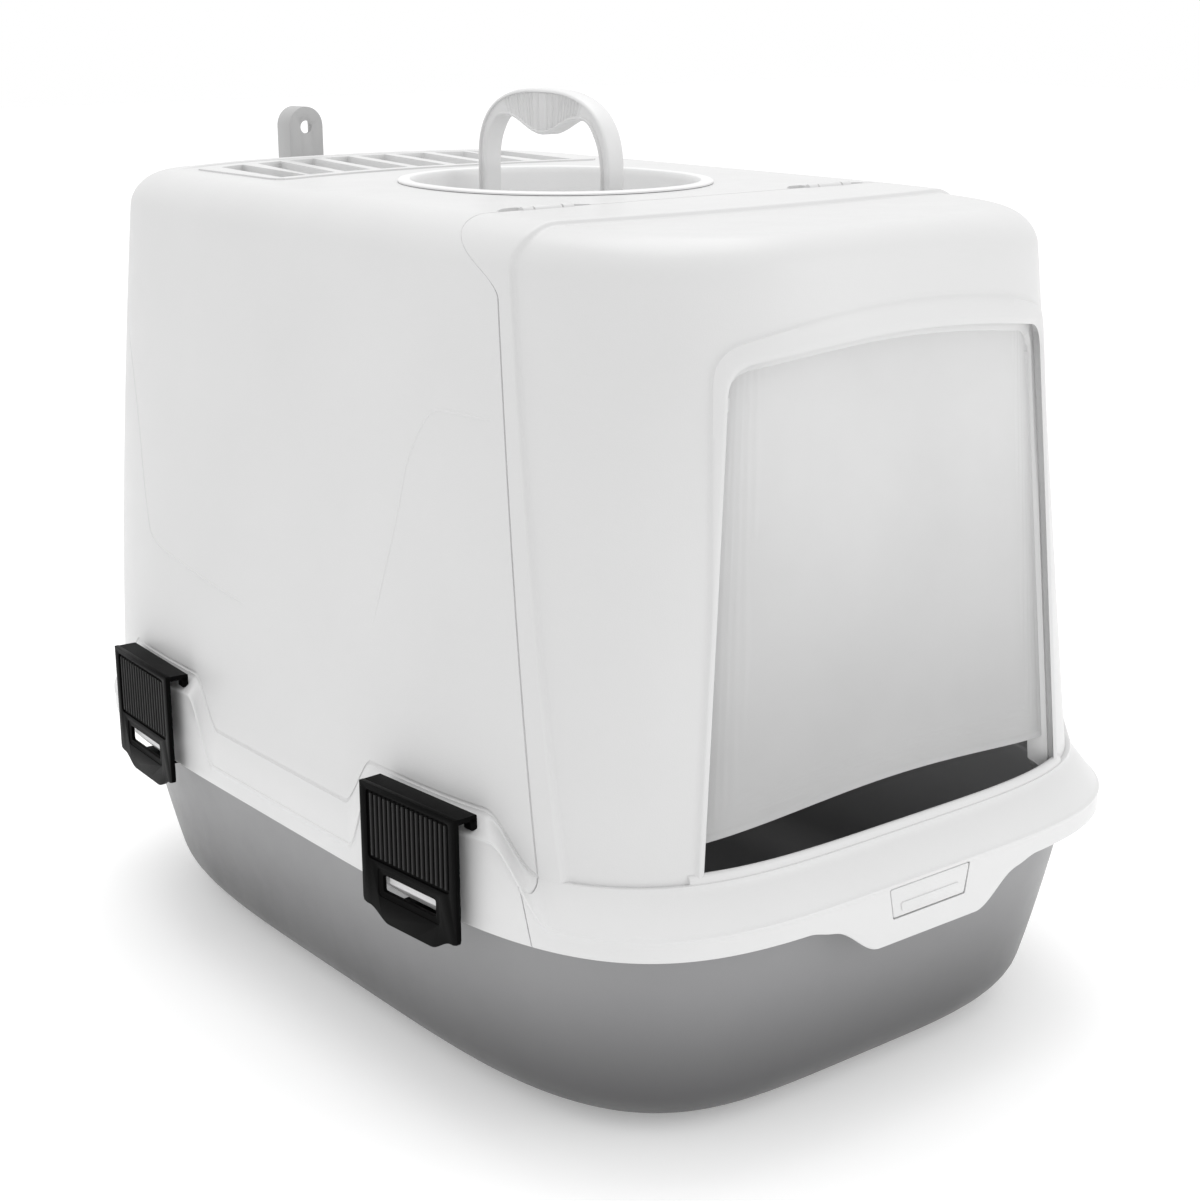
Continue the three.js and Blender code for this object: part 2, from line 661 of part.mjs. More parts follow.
function carryHandle() {
  const { half, leg, archZ, topZ, pivotZ, thickness, y } = HANDLE;
  const inner = half - leg;
  const outline = new THREE.Shape();
  const { square, steps } = HANDLE_ARCH;
  const { shoulder, middle, highZ, dipZ, corner, foot } = HANDLE_GRIP;
  outline.moveTo(-half, pivotZ - foot);
  outline.lineTo(-half, archZ);
  for (let step = 1; step <= steps; step += 1) {
    const turn = Math.PI * (1 - step / steps);
    const across = Math.sign(Math.cos(turn)) * Math.abs(Math.cos(turn)) ** (2 / square);
    outline.lineTo(half * across, archZ + (topZ - archZ) * Math.abs(Math.sin(turn)) ** (2 / square));
  }
  outline.lineTo(half, pivotZ - foot);
  outline.lineTo(inner, pivotZ - foot);
  outline.lineTo(inner, archZ + 4);
  const crown = inner * shoulder;
  const near = inner * middle;
  const bottom = inner * 0.25;
  outline.bezierCurveTo(inner, highZ - 3, inner - corner, highZ, crown, highZ);
  outline.bezierCurveTo(near, highZ, bottom, dipZ, 0, dipZ);
  outline.bezierCurveTo(-bottom, dipZ, -near, highZ, -crown, highZ);
  outline.bezierCurveTo(-inner + corner, highZ, -inner, highZ - 3, -inner, archZ + 4);
  outline.lineTo(-inner, pivotZ - foot);
  const bail = alongX(outline, -thickness / 2, thickness / 2).translate([0, y, 0]);
  const pins = [-1, 1].map((end) => {
    const root = y + end * (half - 1);
    return rod(HANDLE_PIN.radius, [0, root, pivotZ], [0, root + end * HANDLE_PIN.length, pivotZ]);
  });
  return union(bail, ...pins);
}

// ---------------------------------------------------------------- filter

function filterFrame() {
  const { half, frontY, rearY, topZ, height, rib } = FILTER;
  const tray = box([-half, half], [frontY, rearY], [topZ - height, topZ]);
  const room = box([-half + rib, half - rib], [frontY + rib, rearY - rib], [topZ - height + rib, topZ + 1]);
  const windows = [];
  const count = 6;
  const pitch = (2 * half - 2 * rib) / count;
  for (let index = 0; index < count; index += 1) {
    const low = -half + rib + index * pitch + 4;
    windows.push(box([low, low + pitch - 8], [frontY + 8, rearY - 8], [topZ - height - 1, topZ]));
  }
  return tray.subtract(union(room, ...windows));
}

function filterPad() {
  const { half, frontY, rearY, topZ, height, rib } = FILTER;
  const side = rib + GAP;
  return box(
    [-half + side, half - side],
    [frontY + side, rearY - side],
    [topZ - height + side, topZ - 0.5],
  );
}

// ---------------------------------------------------------------- scoop

function scoopOutline(inset) {
  const { handleHalf, topZ } = SCOOP;
  const { half, lowZ, highZ } = BLADE;
  const grip = handleHalf - inset;
  const blade = half - inset;
  const outline = new THREE.Shape();
  outline.moveTo(-blade + 10, lowZ + inset);
  outline.lineTo(blade - 10, lowZ + inset);
  outline.quadraticCurveTo(blade, lowZ + inset, blade, lowZ + 14);
  outline.lineTo(blade, highZ - 30);
  outline.quadraticCurveTo(blade - 4, highZ - inset, grip + 6, highZ + 4 - inset);
  outline.quadraticCurveTo(grip, highZ + 6, grip, highZ + 16);
  outline.lineTo(grip, topZ - 12);
  outline.absarc(0, topZ - 12, grip, 0, Math.PI, false);
  outline.lineTo(-grip, highZ + 16);
  outline.quadraticCurveTo(-grip, highZ + 6, -grip - 6, highZ + 4 - inset);
  outline.quadraticCurveTo(-blade + 4, highZ - inset, -blade, highZ - 30);
  outline.lineTo(-blade, lowZ + 14);
  outline.quadraticCurveTo(-blade, lowZ + inset, -blade + 10, lowZ + inset);
  return outline;
}

function scoop() {
  const { y, depth, wall, holeZ, holeRadius } = SCOOP;
  const tray = alongY(scoopOutline(0), y, y + depth);
  const hollow = alongY(scoopOutline(wall), y + wall, y + depth + 5);
  const hole = rod(holeRadius, [0, y - 5, holeZ], [0, y + 8, holeZ]);
  const slots = [];
  const pitch = (2 * BLADE.half - 14) / BLADE.slots;
  for (let index = 0; index < BLADE.slots; index += 1) {
    const x = (index - (BLADE.slots - 1) / 2) * pitch;
    const low = BLADE.lowZ + 16;
    slots.push(box([x - BLADE.slotHalf, x + BLADE.slotHalf], [y - 5, y + 5], [low, low + BLADE.slotHeight]));
  }
  return tray.subtract(union(hollow, hole, ...slots));
}

// ---------------------------------------------------------------- assembly

const shell = wholeShell();
const group = new THREE.Group();
group.add(piece("base_pan", basePan(), GREY));
group.add(piece("hood", hood(shell), WHITE));
group.add(piece("handle_well", handleWell(), WHITE));
group.add(piece("scoop_pocket", scoopPocket(), WHITE));
group.add(piece("front_cover", frontCover(shell), WHITE));
group.add(piece("swing_door", swingDoor(), FROSTED));
group.add(piece("front_catch", frontCatch(), WHITE));
group.add(piece("carry_handle", carryHandle(), WHITE));
group.add(piece("filter_frame", filterFrame(), WHITE));
group.add(piece("filter_pad", filterPad(), CARBON));
group.add(piece("scoop", scoop(), SCOOP_GREY));
group.add(...forEachLatch((name, y, side) => piece(`latch_${name}`, onRim(latch(), y, side), BLACK)));

export default group;
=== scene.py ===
"""Looks of the hooded cat litter box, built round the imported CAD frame.

Shapes are worked out in millimetres in the frame's own axes (+Z up, doorway to -Y) and
turned into metres when a mesh is made.
"""
import json
import math

import bmesh
import bpy
import numpy as np
from mathutils import Matrix, Vector


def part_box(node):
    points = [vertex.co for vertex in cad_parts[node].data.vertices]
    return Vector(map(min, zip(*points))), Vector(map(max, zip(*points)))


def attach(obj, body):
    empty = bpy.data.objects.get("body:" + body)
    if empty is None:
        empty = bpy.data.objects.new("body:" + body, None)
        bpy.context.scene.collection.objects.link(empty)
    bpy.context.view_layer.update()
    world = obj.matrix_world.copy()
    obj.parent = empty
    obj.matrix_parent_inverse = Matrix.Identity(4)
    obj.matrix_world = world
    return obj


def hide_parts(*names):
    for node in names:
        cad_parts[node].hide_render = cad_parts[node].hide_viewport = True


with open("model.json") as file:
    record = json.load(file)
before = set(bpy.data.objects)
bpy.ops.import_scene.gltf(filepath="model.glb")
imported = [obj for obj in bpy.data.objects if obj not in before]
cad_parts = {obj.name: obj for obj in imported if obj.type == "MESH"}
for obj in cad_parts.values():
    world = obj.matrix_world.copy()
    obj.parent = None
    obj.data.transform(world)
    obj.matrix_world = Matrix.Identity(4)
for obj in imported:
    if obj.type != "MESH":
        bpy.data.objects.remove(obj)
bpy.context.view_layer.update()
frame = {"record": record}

MM = 0.001


def box_mm(node):
    """Lowest and highest corner of a CAD node, in millimetres."""
    low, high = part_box(node)
    return np.array(low) / MM, np.array(high) / MM


PAN_TOP_CORNER = box_mm("base_pan")[1]
HOOD_LOW = box_mm("hood")[0]
COVER_LOW = box_mm("front_cover")[0]
SCOOP_LOW, SCOOP_HIGH = box_mm("scoop")
FILTER_LOW, FILTER_HIGH = box_mm("filter_frame")
PAD_LOW, PAD_HIGH = box_mm("filter_pad")

JOINTS = {joint["name"]: joint for joint in frame["record"]["behaviour"]["joints"]}


def joint_point(name):
    return np.array(JOINTS[name]["pos_m"]) / MM


# ------------------------------------------------------------------ driving sizes, in millimetres

WALL = 3.0
SKIRT_Z = HOOD_LOW[2]
RIM_FRONT = COVER_LOW[1]
RIM = (PAN_TOP_CORNER[0] + 4.0, RIM_FRONT, -RIM_FRONT, 4.34, 4.34)  # half width, front, rear, squareness
HOOD_FOOT = (RIM[0] - 6.5, RIM_FRONT + 16, -RIM_FRONT - 16, 4.1, 4.7)
HOOD_CROWN = (148.5, -257.0, 262.0, 3.8, 8.0)
FOOT_Z = 150.0  # where the hood's plan is HOOD_FOOT
SHELL_FOOT_Z = 131.0  # where the walls stop, inside the skirt
HINGE_Y, HINGE_Z = joint_point("cover_hinge")[1:]
ROOF_Z = HINGE_Z + 0.5
ROOF_BEND = 20.0
FLANGE_Z = 138.0
CREASE_Z = 122.0
LOBE_Z = COVER_LOW[2]
PAD_CREASE_Z = 156.5
PAD_FLANGE_Z = 162.5
SILL_Z = 143.7
PARTING_Y, PARTING_Z, PARTING_LEAN, PARTING_TOP = -206.0, 125.4, 0.2345, 408.0
CREASE_Y, CREASE_LEAN, CREASE_TOP = -216.5, 0.2465, 404.0
FACE_STEP = 2.2
LATCH_CENTRE_Y = {"front": -139.0, "rear": 129.5}
HINGE_SPREAD = 92.0  # the two hinges' distance from the middle
HINGE_AXLE_Z = HINGE_Z - 0.2
PEG_X, PEG_Z = 40, 206
SCOOP_HOLE_Z = 442.5
LIP_FOOT_Z = 128.0


# ------------------------------------------------------------------ plan curves and the hood's skin

def outline(plan, angle):
    """Points of a rounded-rectangle plan curve at these angles."""
    half, front, rear, front_square, rear_square = plan
    side, end = np.cos(angle), np.sin(angle)
    power = 2 / np.where(end < 0, front_square, rear_square)
    x = np.sign(side) * np.abs(side) ** power * half
    y = (front + rear) / 2 + np.sign(end) * np.abs(end) ** power * (rear - front) / 2
    return x, y


def plan_row(plan, angles, z):
    """The points of a plan curve at these angles, at height z."""
    x, y = outline(plan, angles)
    return np.stack([x, y, z * np.ones_like(x)], -1)


def grown(plan, amount):
    half, front, rear, front_square, rear_square = plan
    return half + amount, front - amount, rear + amount, front_square, rear_square


def hood_plan(z, offset=0.0):
    """The hood's plan at height z with its skin moved outwards by offset, roof bend included."""
    share = (z - FOOT_Z) / (ROOF_Z - FOOT_Z)
    plan = tuple(low + (high - low) * share for low, high in zip(HOOD_FOOT, HOOD_CROWN))
    bend = ROOF_BEND + np.minimum(offset, 0)
    above = np.clip(z - (ROOF_Z + offset - bend), 0, bend)
    inset = bend - np.sqrt(np.maximum(bend**2 - above**2, 0))
    return grown(plan, offset - inset)


def plan_value(plan, x, y):
    """Below 1 inside a plan curve, 1 on it and above 1 outside it."""
    half, front, rear, front_square, rear_square = plan
    middle, reach = (front + rear) / 2, (rear - front) / 2
    square = np.where(y < middle, front_square, rear_square)
    return np.abs(x / half) ** square + np.abs((y - middle) / reach) ** square


def inside_hood(points, offset):
    x, y, z = points[..., 0], points[..., 1], points[..., 2]
    plan = hood_plan(np.minimum(z, ROOF_Z + offset), offset)
    return (plan_value(plan, x, y) < 1) & (z < ROOF_Z + offset)


def cast(origin, directions, offset):
    """Where rays from inside the hood meet its skin moved outwards by offset."""
    near = np.zeros(directions.shape[:-1])
    far = np.full(directions.shape[:-1], 700.0)
    for _ in range(40):
        middle = (near + far) / 2
        within = inside_hood(origin + directions * middle[..., None], offset)
        near = np.where(within, middle, near)
        far = np.where(within, far, middle)
    return origin + directions * near[..., None]


def skin_x(y, z, offset=0.0):
    """Half width of the hood at depth y and height z."""
    half, front, rear, front_square, rear_square = hood_plan(z, offset)
    middle, reach = (front + rear) / 2, (rear - front) / 2
    square = np.where(y < middle, front_square, rear_square)
    share = np.clip(1 - np.abs((y - middle) / reach) ** square, 0, 1)
    return half * share ** (1 / square)


def skin_y(x, z, offset=0.0):
    """Depth of the hood's front face at x and height z."""
    half, front, rear, front_square, _ = hood_plan(z, offset)
    middle, reach = (front + rear) / 2, (rear - front) / 2
    share = np.clip(1 - np.abs(x / half) ** front_square, 0, 1)
    return middle - reach * share ** (1 / front_square)


def even_angles(plan, count, start=0.0, stop=2 * math.pi, ends=False):
    """Angles that space points evenly along a plan curve."""
    angles = np.linspace(start, stop, 8001)
    x, y = outline(plan, angles)
    length = np.concatenate([[0], np.cumsum(np.hypot(np.diff(x), np.diff(y)))])
    wanted = np.linspace(0, length[-1], count, endpoint=ends)
    return np.interp(wanted, length, angles)


def smooth(value, low, high):
    share = np.clip((value - low) / (high - low), 0, 1)
    return share * share * (3 - 2 * share)


def mixed(a, b, share):
    return a + (b - a) * share


# ------------------------------------------------------------------ mesh making

def new_piece(name, points, faces, sharp=35.0):
    mesh = bpy.data.meshes.new(name)
    mesh.from_pydata((np.asarray(points, float) * MM).tolist(), [], [list(map(int, f)) for f in faces])
    mesh.validate()
    if signed_volume(mesh) < 0:
        mesh.flip_normals()
    piece = bpy.data.objects.new(name, mesh)
    bpy.context.scene.collection.objects.link(piece)
    soften(piece, sharp)
    return piece


def signed_volume(mesh):
    mesh.calc_loop_triangles()
    corners = np.empty(len(mesh.loop_triangles) * 3, dtype=np.int32)
    mesh.loop_triangles.foreach_get("vertices", corners)
    places = np.empty(len(mesh.vertices) * 3)
    mesh.vertices.foreach_get("co", places)
    a, b, c = places.reshape(-1, 3)[corners.reshape(-1, 3)].transpose(1, 0, 2)
    return float(np.einsum("ij,ij->i", a, np.cross(b, c)).sum())


def soften(piece, sharp=35.0):
    mesh = piece.data
    mesh.shade_smooth()
    mesh.set_sharp_from_angle(angle=math.radians(sharp))


def sheet_faces(rows, columns, wrap_rows=False, wrap_columns=False, start=0):
    r = np.arange(rows if wrap_rows else rows - 1)
    c = np.arange(columns if wrap_columns else columns - 1)
    r0, c0 = np.meshgrid(r, c, indexing="ij")
    r1, c1 = (r0 + 1) % rows, (c0 + 1) % columns
    quads = np.stack([r0 * columns + c0, r0 * columns + c1, r1 * columns + c1, r1 * columns + c0], -1)
    return (quads.reshape(-1, 4) + start).tolist()


def strip(name, grid, sharp=35.0):
    """A closed body from grid[row, column]: rows go round the section, columns along it, with capped ends."""
    rows, columns = grid.shape[:2]
    faces = sheet_faces(rows, columns, wrap_rows=True)
    faces.append([row * columns for row in range(rows)])
    faces.append([row * columns + columns - 1 for row in reversed(range(rows))])
    return new_piece(name, grid.reshape(-1, 3), faces, sharp)


def ring(name, grid, sharp=35.0):
    """A closed ring-shaped body from grid[row, column], both directions joined up."""
    rows, columns = grid.shape[:2]
    return new_piece(name, grid.reshape(-1, 3), sheet_faces(rows, columns, True, True), sharp)


def slab(name, front, back, sharp=35.0):
    """A closed plate from two sheets of points with the same rows and columns, joined round their edges."""
    rows, columns = front.shape[:2]
    half = rows * columns
    points = np.vstack([front.reshape(-1, 3), back.reshape(-1, 3)])
    faces = sheet_faces(rows, columns) + [face[::-1] for face in sheet_faces(rows, columns, start=half)]
    edge = ([c for c in range(columns - 1)] + [r * columns + columns - 1 for r in range(rows - 1)]
            + [(rows - 1) * columns + c for c in range(columns - 1, 0, -1)]
            + [r * columns for r in range(rows - 1, 0, -1)])
    for here, after in zip(edge, edge[1:] + edge[:1]):
        faces.append([after, here, here + half, after + half])
    return new_piece(name, points, faces, sharp)


def vessel(name, grid, sharp=35.0):
    """A closed body from stacked rings grid[row, column], with a fan at the first and last ring."""
    rows, columns = grid.shape[:2]
    faces = sheet_faces(rows, columns, wrap_columns=True)
    points = np.vstack([grid.reshape(-1, 3), grid[0].mean(0), grid[-1].mean(0)])
    first, last = rows * columns, rows * columns + 1
    for c in range(columns):
        n = (c + 1) % columns
        faces.append([first, n, c])
        faces.append([last, (rows - 1) * columns + c, (rows - 1) * columns + n])
    return new_piece(name, points, faces, sharp)


def prism(name, loop, axis, low, high, sharp=35.0):
    """A straight body: a closed 2-D loop swept along an axis. The loop holds the other two coordinates."""
    loop = np.asarray(loop, float)
    ends = [np.insert(loop, axis, level, axis=1) for level in (low, high)]
    count = len(loop)
    faces = [[k, (k + 1) % count, count + (k + 1) % count, count + k] for k in range(count)]
    faces += [list(range(count))[::-1], list(range(count, 2 * count))]
    return new_piece(name, np.vstack(ends), faces, sharp)


def block(name, low, high):
    low, high = np.asarray(low, float), np.asarray(high, float)
    loop = [(low[0], low[1]), (high[0], low[1]), (high[0], high[1]), (low[0], high[1])]
    return prism(name, loop, 2, low[2], high[2])


def combine(piece, tool, operation="DIFFERENCE", sharp=35.0):
    """Cuts or joins tool with piece for good and removes tool."""
    modifier = piece.modifiers.new("combine", "BOOLEAN")
    modifier.operation = operation
    modifier.solver = "MANIFOLD"
    modifier.object = tool
    graph = bpy.context.evaluated_depsgraph_get()
    result = bpy.data.meshes.new_from_object(piece.evaluated_get(graph))
    piece.modifiers.remove(modifier)
    old = piece.data
    piece.data = result
    bpy.data.meshes.remove(old)
    bpy.data.objects.remove(tool, do_unlink=True)
    soften(piece, sharp)
    return piece


def round_edges(piece, width, segments=2, angle=40.0):
    """Rounds the sharp edges of a simple body for good."""
    work = bmesh.new()
    work.from_mesh(piece.data)
    bmesh.ops.remove_doubles(work, verts=work.verts, dist=1e-7)
    limit = math.radians(angle)
    edges = [e for e in work.edges if len(e.link_faces) == 2 and e.calc_face_angle(0) > limit]
    bmesh.ops.bevel(work, geom=edges, offset=width * MM, segments=segments, profile=0.5,
                    affect="EDGES", clamp_overlap=True)
    work.to_mesh(piece.data)
    work.free()
    soften(piece)
    return piece


def rounded(points, radii, steps=4, closed=True):
    """A polyline with its corners rounded; every corner gives the same number of points."""
    points = np.asarray(points, float)
    count = len(points)
    out = []
    for k in range(count):
        here = points[k]
        if not closed and k in (0, count - 1):
            out += [here] * (steps + 1)
            continue
        before, after = points[k - 1], points[(k + 1) % count]
        a, b = before - here, after - here
        la, lb = np.hypot(*a), np.hypot(*b)
        a, b = a / la, b / lb
        half = math.acos(float(np.clip(a @ b, -0.9999, 0.9999))) / 2
        reach = min(radii[k] / math.tan(half), 0.48 * la, 0.48 * lb)
        start, end = here + a * reach, here + b * reach
        for step in range(steps + 1):
            t = step / steps
            out.append((1 - t) ** 2 * start + 2 * t * (1 - t) * here + t**2 * end)
    return np.array(out)


def finish_piece(piece, material, body, slot, *replaced):
    piece.data.materials.clear()
    piece.data.materials.append(material)
    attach(piece, body)
    if replaced:
        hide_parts(*replaced)
    return piece


def rectangle(low_x, low_y, high_x, high_y, radii, steps=4):
    """A rectangle with rounded corners: one radius for all, or four, anticlockwise from the lowest."""
    corners = [(low_x, low_y), (high_x, low_y), (high_x, high_y), (low_x, high_y)]
    return rounded(corners, np.broadcast_to(radii, 4), steps)


def ellipse(half, height, count, centre=(0, 0)):
    """Points round an ellipse, as an outline or a section."""
    return [(centre[0] + half * math.cos(t), centre[1] + height * math.sin(t))
            for t in np.linspace(0, 2 * math.pi, count, endpoint=False)]


# ------------------------------------------------------------------ camera

def place_camera():
    """The main viewpoint, fitted to the rim, the roof and the doorway."""
    yaw, pitch, roll = 0.66512, 0.28112, -0.0041
    ahead = Vector((math.sin(yaw) * math.cos(pitch), math.cos(yaw) * math.cos(pitch), -math.sin(pitch)))
    level = Vector((math.cos(yaw), -math.sin(yaw), 0))
    above = level.cross(ahead)
    right = level * math.cos(roll) + above * math.sin(roll)
    up = right.cross(ahead)
    data = bpy.data.cameras.new("camera")
    data.sensor_width = 36.0
    data.lens = 36.0 * 2102.83 / 1201
    data.clip_end = 50
    camera = bpy.data.objects.new("camera", data)
    bpy.context.scene.collection.objects.link(camera)
    turn = np.eye(4)
    turn[:3, 0], turn[:3, 1], turn[:3, 2] = right, up, -ahead
    turn[:3, 3] = (-0.69235, -0.90896, 0.52272)
    camera.matrix_world = Matrix(turn.tolist())
    bpy.context.scene.camera = camera


place_camera()


# ------------------------------------------------------------------ materials

class Nodes:
    """A small helper for building a procedural material."""

    def __init__(self, name):
        self.material = bpy.data.materials.new(name)
        self.material.use_nodes = True
        self.tree = self.material.node_tree
        self.shader = self.tree.nodes["Principled BSDF"]
        self.place = self.add("ShaderNodeTexCoord").outputs["Object"]

    def add(self, kind, **settings):
        node = self.tree.nodes.new(kind)
        for key, value in settings.items():
            setattr(node, key, value)
        return node

    def link(self, source, target):
        self.tree.links.new(source, target)

    def noise(self, scale, detail=3.0, roughness=0.5, stretch=None):
        node = self.add("ShaderNodeTexNoise")
        node.inputs["Scale"].default_value = scale
        node.inputs["Detail"].default_value = detail
        node.inputs["Roughness"].default_value = roughness
        if stretch is None:
            self.link(self.place, node.inputs["Vector"])
        else:
            mapping = self.add("ShaderNodeMapping")
            mapping.inputs["Scale"].default_value = stretch
            self.link(self.place, mapping.inputs["Vector"])
            self.link(mapping.outputs["Vector"], node.inputs["Vector"])
        return node.outputs["Fac"]

    def ramp(self, source, stops):
        node = self.add("ShaderNodeValToRGB")
        ramp = node.color_ramp
        while len(ramp.elements) < len(stops):
            ramp.elements.new(0.5)
        for element, (place, colour) in zip(ramp.elements, stops):
            element.position = place
            element.color = (*colour, 1)
        self.link(source, node.inputs["Fac"])
        return node.outputs["Color"]

    def spread(self, source, low, high, start=0.3, stop=0.7):
        node = self.add("ShaderNodeMapRange")
        node.inputs["From Min"].default_value = start
        node.inputs["From Max"].default_value = stop
        node.inputs["To Min"].default_value = low
        node.inputs["To Max"].default_value = high
        self.link(source, node.inputs["Value"])
        return node.outputs["Result"]

    def sum(self, first, second, weight):
        node = self.add("ShaderNodeMath", operation="MULTIPLY_ADD")
        self.link(second, node.inputs[0])
        node.inputs[1].default_value = weight
        self.link(first, node.inputs[2])
        return node.outputs["Value"]

    def bump(self, height, distance, strength=1.0):
        node = self.add("ShaderNodeBump")
        node.inputs["Strength"].default_value = strength
        node.inputs["Distance"].default_value = distance
        self.link(height, node.inputs["Height"])
        self.link(node.outputs["Normal"], self.shader.inputs["Normal"])


def moulded(name, light, dark, rough, grain=0.00002, waviness=0.00006, specular=0.5):
    """Injection-moulded plastic: a fine grain, slow sink waviness and a slight change of tone and gloss."""
    nodes = Nodes(name)
    cloudy = nodes.noise(9, 4)
    nodes.link(nodes.ramp(cloudy, [(0.3, dark), (0.7, light)]), nodes.shader.inputs["Base Color"])
    smudge = nodes.noise(38, 5, 0.6)
    nodes.link(nodes.spread(smudge, rough - 0.04, rough + 0.05), nodes.shader.inputs["Roughness"])
    fine = nodes.noise(1800, 2)
    slow = nodes.noise(26, 2)
    nodes.bump(nodes.sum(nodes.spread(fine, 0, grain / MM * 1e-1), slow, waviness / MM * 1e-1), 0.01)
    nodes.shader.inputs["Specular IOR Level"].default_value = specular
    return nodes.material


def paint_light_by_height(material, low, high, foot, top):
    """Paints light and shade into the base tone: multiplies it from foot at height low to top at height high,
    in metres.
    """
    tree = material.node_tree
    shader = tree.nodes["Principled BSDF"]
    source = shader.inputs["Base Color"].links[0].from_socket
    split = tree.nodes.new("ShaderNodeSeparateXYZ")
    coordinates = next(node for node in tree.nodes if node.type == "TEX_COORD")
    tree.links.new(coordinates.outputs["Object"], split.inputs[0])
    ramp = tree.nodes.new("ShaderNodeMapRange")
    ramp.interpolation_type = "SMOOTHSTEP"
    for name, value in (("From Min", low), ("From Max", high), ("To Min", foot), ("To Max", top)):
        ramp.inputs[name].default_value = value
    tree.links.new(split.outputs["Z"], ramp.inputs["Value"])
    scale = tree.nodes.new("ShaderNodeVectorMath")
    scale.operation = "SCALE"
    tree.links.new(source, scale.inputs[0])
    tree.links.new(ramp.outputs["Result"], scale.inputs["Scale"])
    tree.links.new(scale.outputs["Vector"], shader.inputs["Base Color"])


WHITE = moulded("white_plastic", (0.63, 0.63, 0.63), (0.61, 0.61, 0.61), 0.36)
# painted light: the skirt band at the foot is made 7% lighter, as if lit from above
paint_light_by_height(WHITE, 0.122, 0.15, 1.07, 1.0)
# painted light: the handle standing above the roof is made 9% lighter
paint_light_by_height(WHITE, 0.428, 0.436, 1.0, 1.09)
# painted light: a lighter copy of the white plastic for the handle well's liner and the vent screen, which
# sit in shade
PAINTED_LIGHT_WHITE = moulded("bright_plastic", (0.76, 0.76, 0.76), (0.73, 0.73, 0.73), 0.36)
GREY = moulded("grey_plastic", (0.245, 0.245, 0.249), (0.225, 0.225, 0.23), 0.36)
# painted shade: the pan's tone darkens towards its foot, down to about a quarter at the bottom
paint_light_by_height(GREY, 0.0, 0.115, 0.26, 1.1)
BLACK = moulded("black_plastic", (0.003, 0.003, 0.003), (0.002, 0.002, 0.002), 0.35, specular=0.02)
RIBS = moulded("black_rib_plastic", (0.022, 0.022, 0.022), (0.016, 0.016, 0.016), 0.45, specular=0.12)
SCOOP_GREY = moulded("scoop_plastic", (0.42, 0.42, 0.42), (0.39, 0.39, 0.39), 0.4)


def frosted():
    """Thin translucent plastic with a fine frosting that scatters what is behind it."""
    nodes = Nodes("frosted_plastic")
    cloudy = nodes.noise(14, 3)
    nodes.link(nodes.ramp(cloudy, [(0.3, (0.70, 0.70, 0.70)), (0.7, (0.73, 0.73, 0.73))]),
               nodes.shader.inputs["Base Color"])
    nodes.shader.inputs["Roughness"].default_value = 0.5
    fine = nodes.noise(900, 2)
    nodes.bump(fine, 0.00004)
    through = nodes.add("ShaderNodeBsdfTranslucent")
    nodes.link(nodes.ramp(cloudy, [(0.3, (0.80, 0.80, 0.80)), (0.7, (0.85, 0.85, 0.85))]),
               through.inputs["Color"])
    clear = nodes.add("ShaderNodeBsdfTransparent")
    clear.inputs["Color"].default_value = (0.86, 0.86, 0.86, 1)
    soft = nodes.add("ShaderNodeMixShader")
    soft.inputs[0].default_value = 0.3
    nodes.link(nodes.shader.outputs[0], soft.inputs[1])
    nodes.link(through.outputs[0], soft.inputs[2])
    seen = nodes.add("ShaderNodeMixShader")
    seen.inputs[0].default_value = 0.09
    nodes.link(soft.outputs[0], seen.inputs[1])
    nodes.link(clear.outputs[0], seen.inputs[2])
    nodes.link(seen.outputs[0], nodes.tree.nodes["Material Output"].inputs["Surface"])
    return nodes.material


def foam():
    """Black open-cell filter foam: pits of two sizes with lighter threads."""
    nodes = Nodes("carbon_foam")
    cells = nodes.add("ShaderNodeTexVoronoi", feature="DISTANCE_TO_EDGE")
    cells.inputs["Scale"].default_value = 480
    nodes.link(nodes.place, cells.inputs["Vector"])
    coarse = nodes.noise(160, 4, 0.7)
    tones = [(0.0, (0.075, 0.075, 0.075)), (0.25, (0.012, 0.012, 0.012))]
    nodes.link(nodes.ramp(cells.outputs["Distance"], tones), nodes.shader.inputs["Base Color"])
    nodes.shader.inputs["Roughness"].default_value = 0.95
    nodes.bump(nodes.sum(cells.outputs["Distance"], coarse, 0.5), 0.0006)
    return nodes.material


FROSTED = frosted()
# painted shade and light: the door darkens towards its foot and lightens towards its top
paint_light_by_height(FROSTED, 0.16, 0.34, 0.78, 1.12)
FOAM = foam()
SLOTS = {"white_plastic": WHITE, "grey_plastic": GREY, "black_plastic": BLACK, "frosted_plastic": FROSTED,
         "scoop_plastic": SCOOP_GREY, "carbon_foam": FOAM}


def settle(piece, slot, body, *replaced):
    return finish_piece(piece, SLOTS[slot], body, slot, *replaced)


# ------------------------------------------------------------------ lines that run over the hood

def lean(start, start_z, slope, z):
    return start + (z - start_z) * slope


def crease_y(x, z):
    """Depth of the step that borders the cover's face."""
    wall = lean(CREASE_Y, PARTING_Z, CREASE_LEAN, z)
    roof = -150 - 9 * (1 - np.minimum(np.abs(x) / 130, 1) ** 2)
    return mixed(wall, roof, smooth(z, CREASE_TOP, ROOF_Z - 2))


def parting_y(x, z):
    """Depth of the joint between the cover and the hood."""
    wall = lean(PARTING_Y, PARTING_Z, PARTING_LEAN, z)
    return mixed(wall, HINGE_Y + 0 * x, smooth(z, PARTING_TOP - 16, ROOF_Z - 1))


def joint_gap(z):
    """How wide the joint is at height z, as a share: it closes up where it runs over the roof."""
    return 1 - 0.8 * smooth(z, 392, 402)


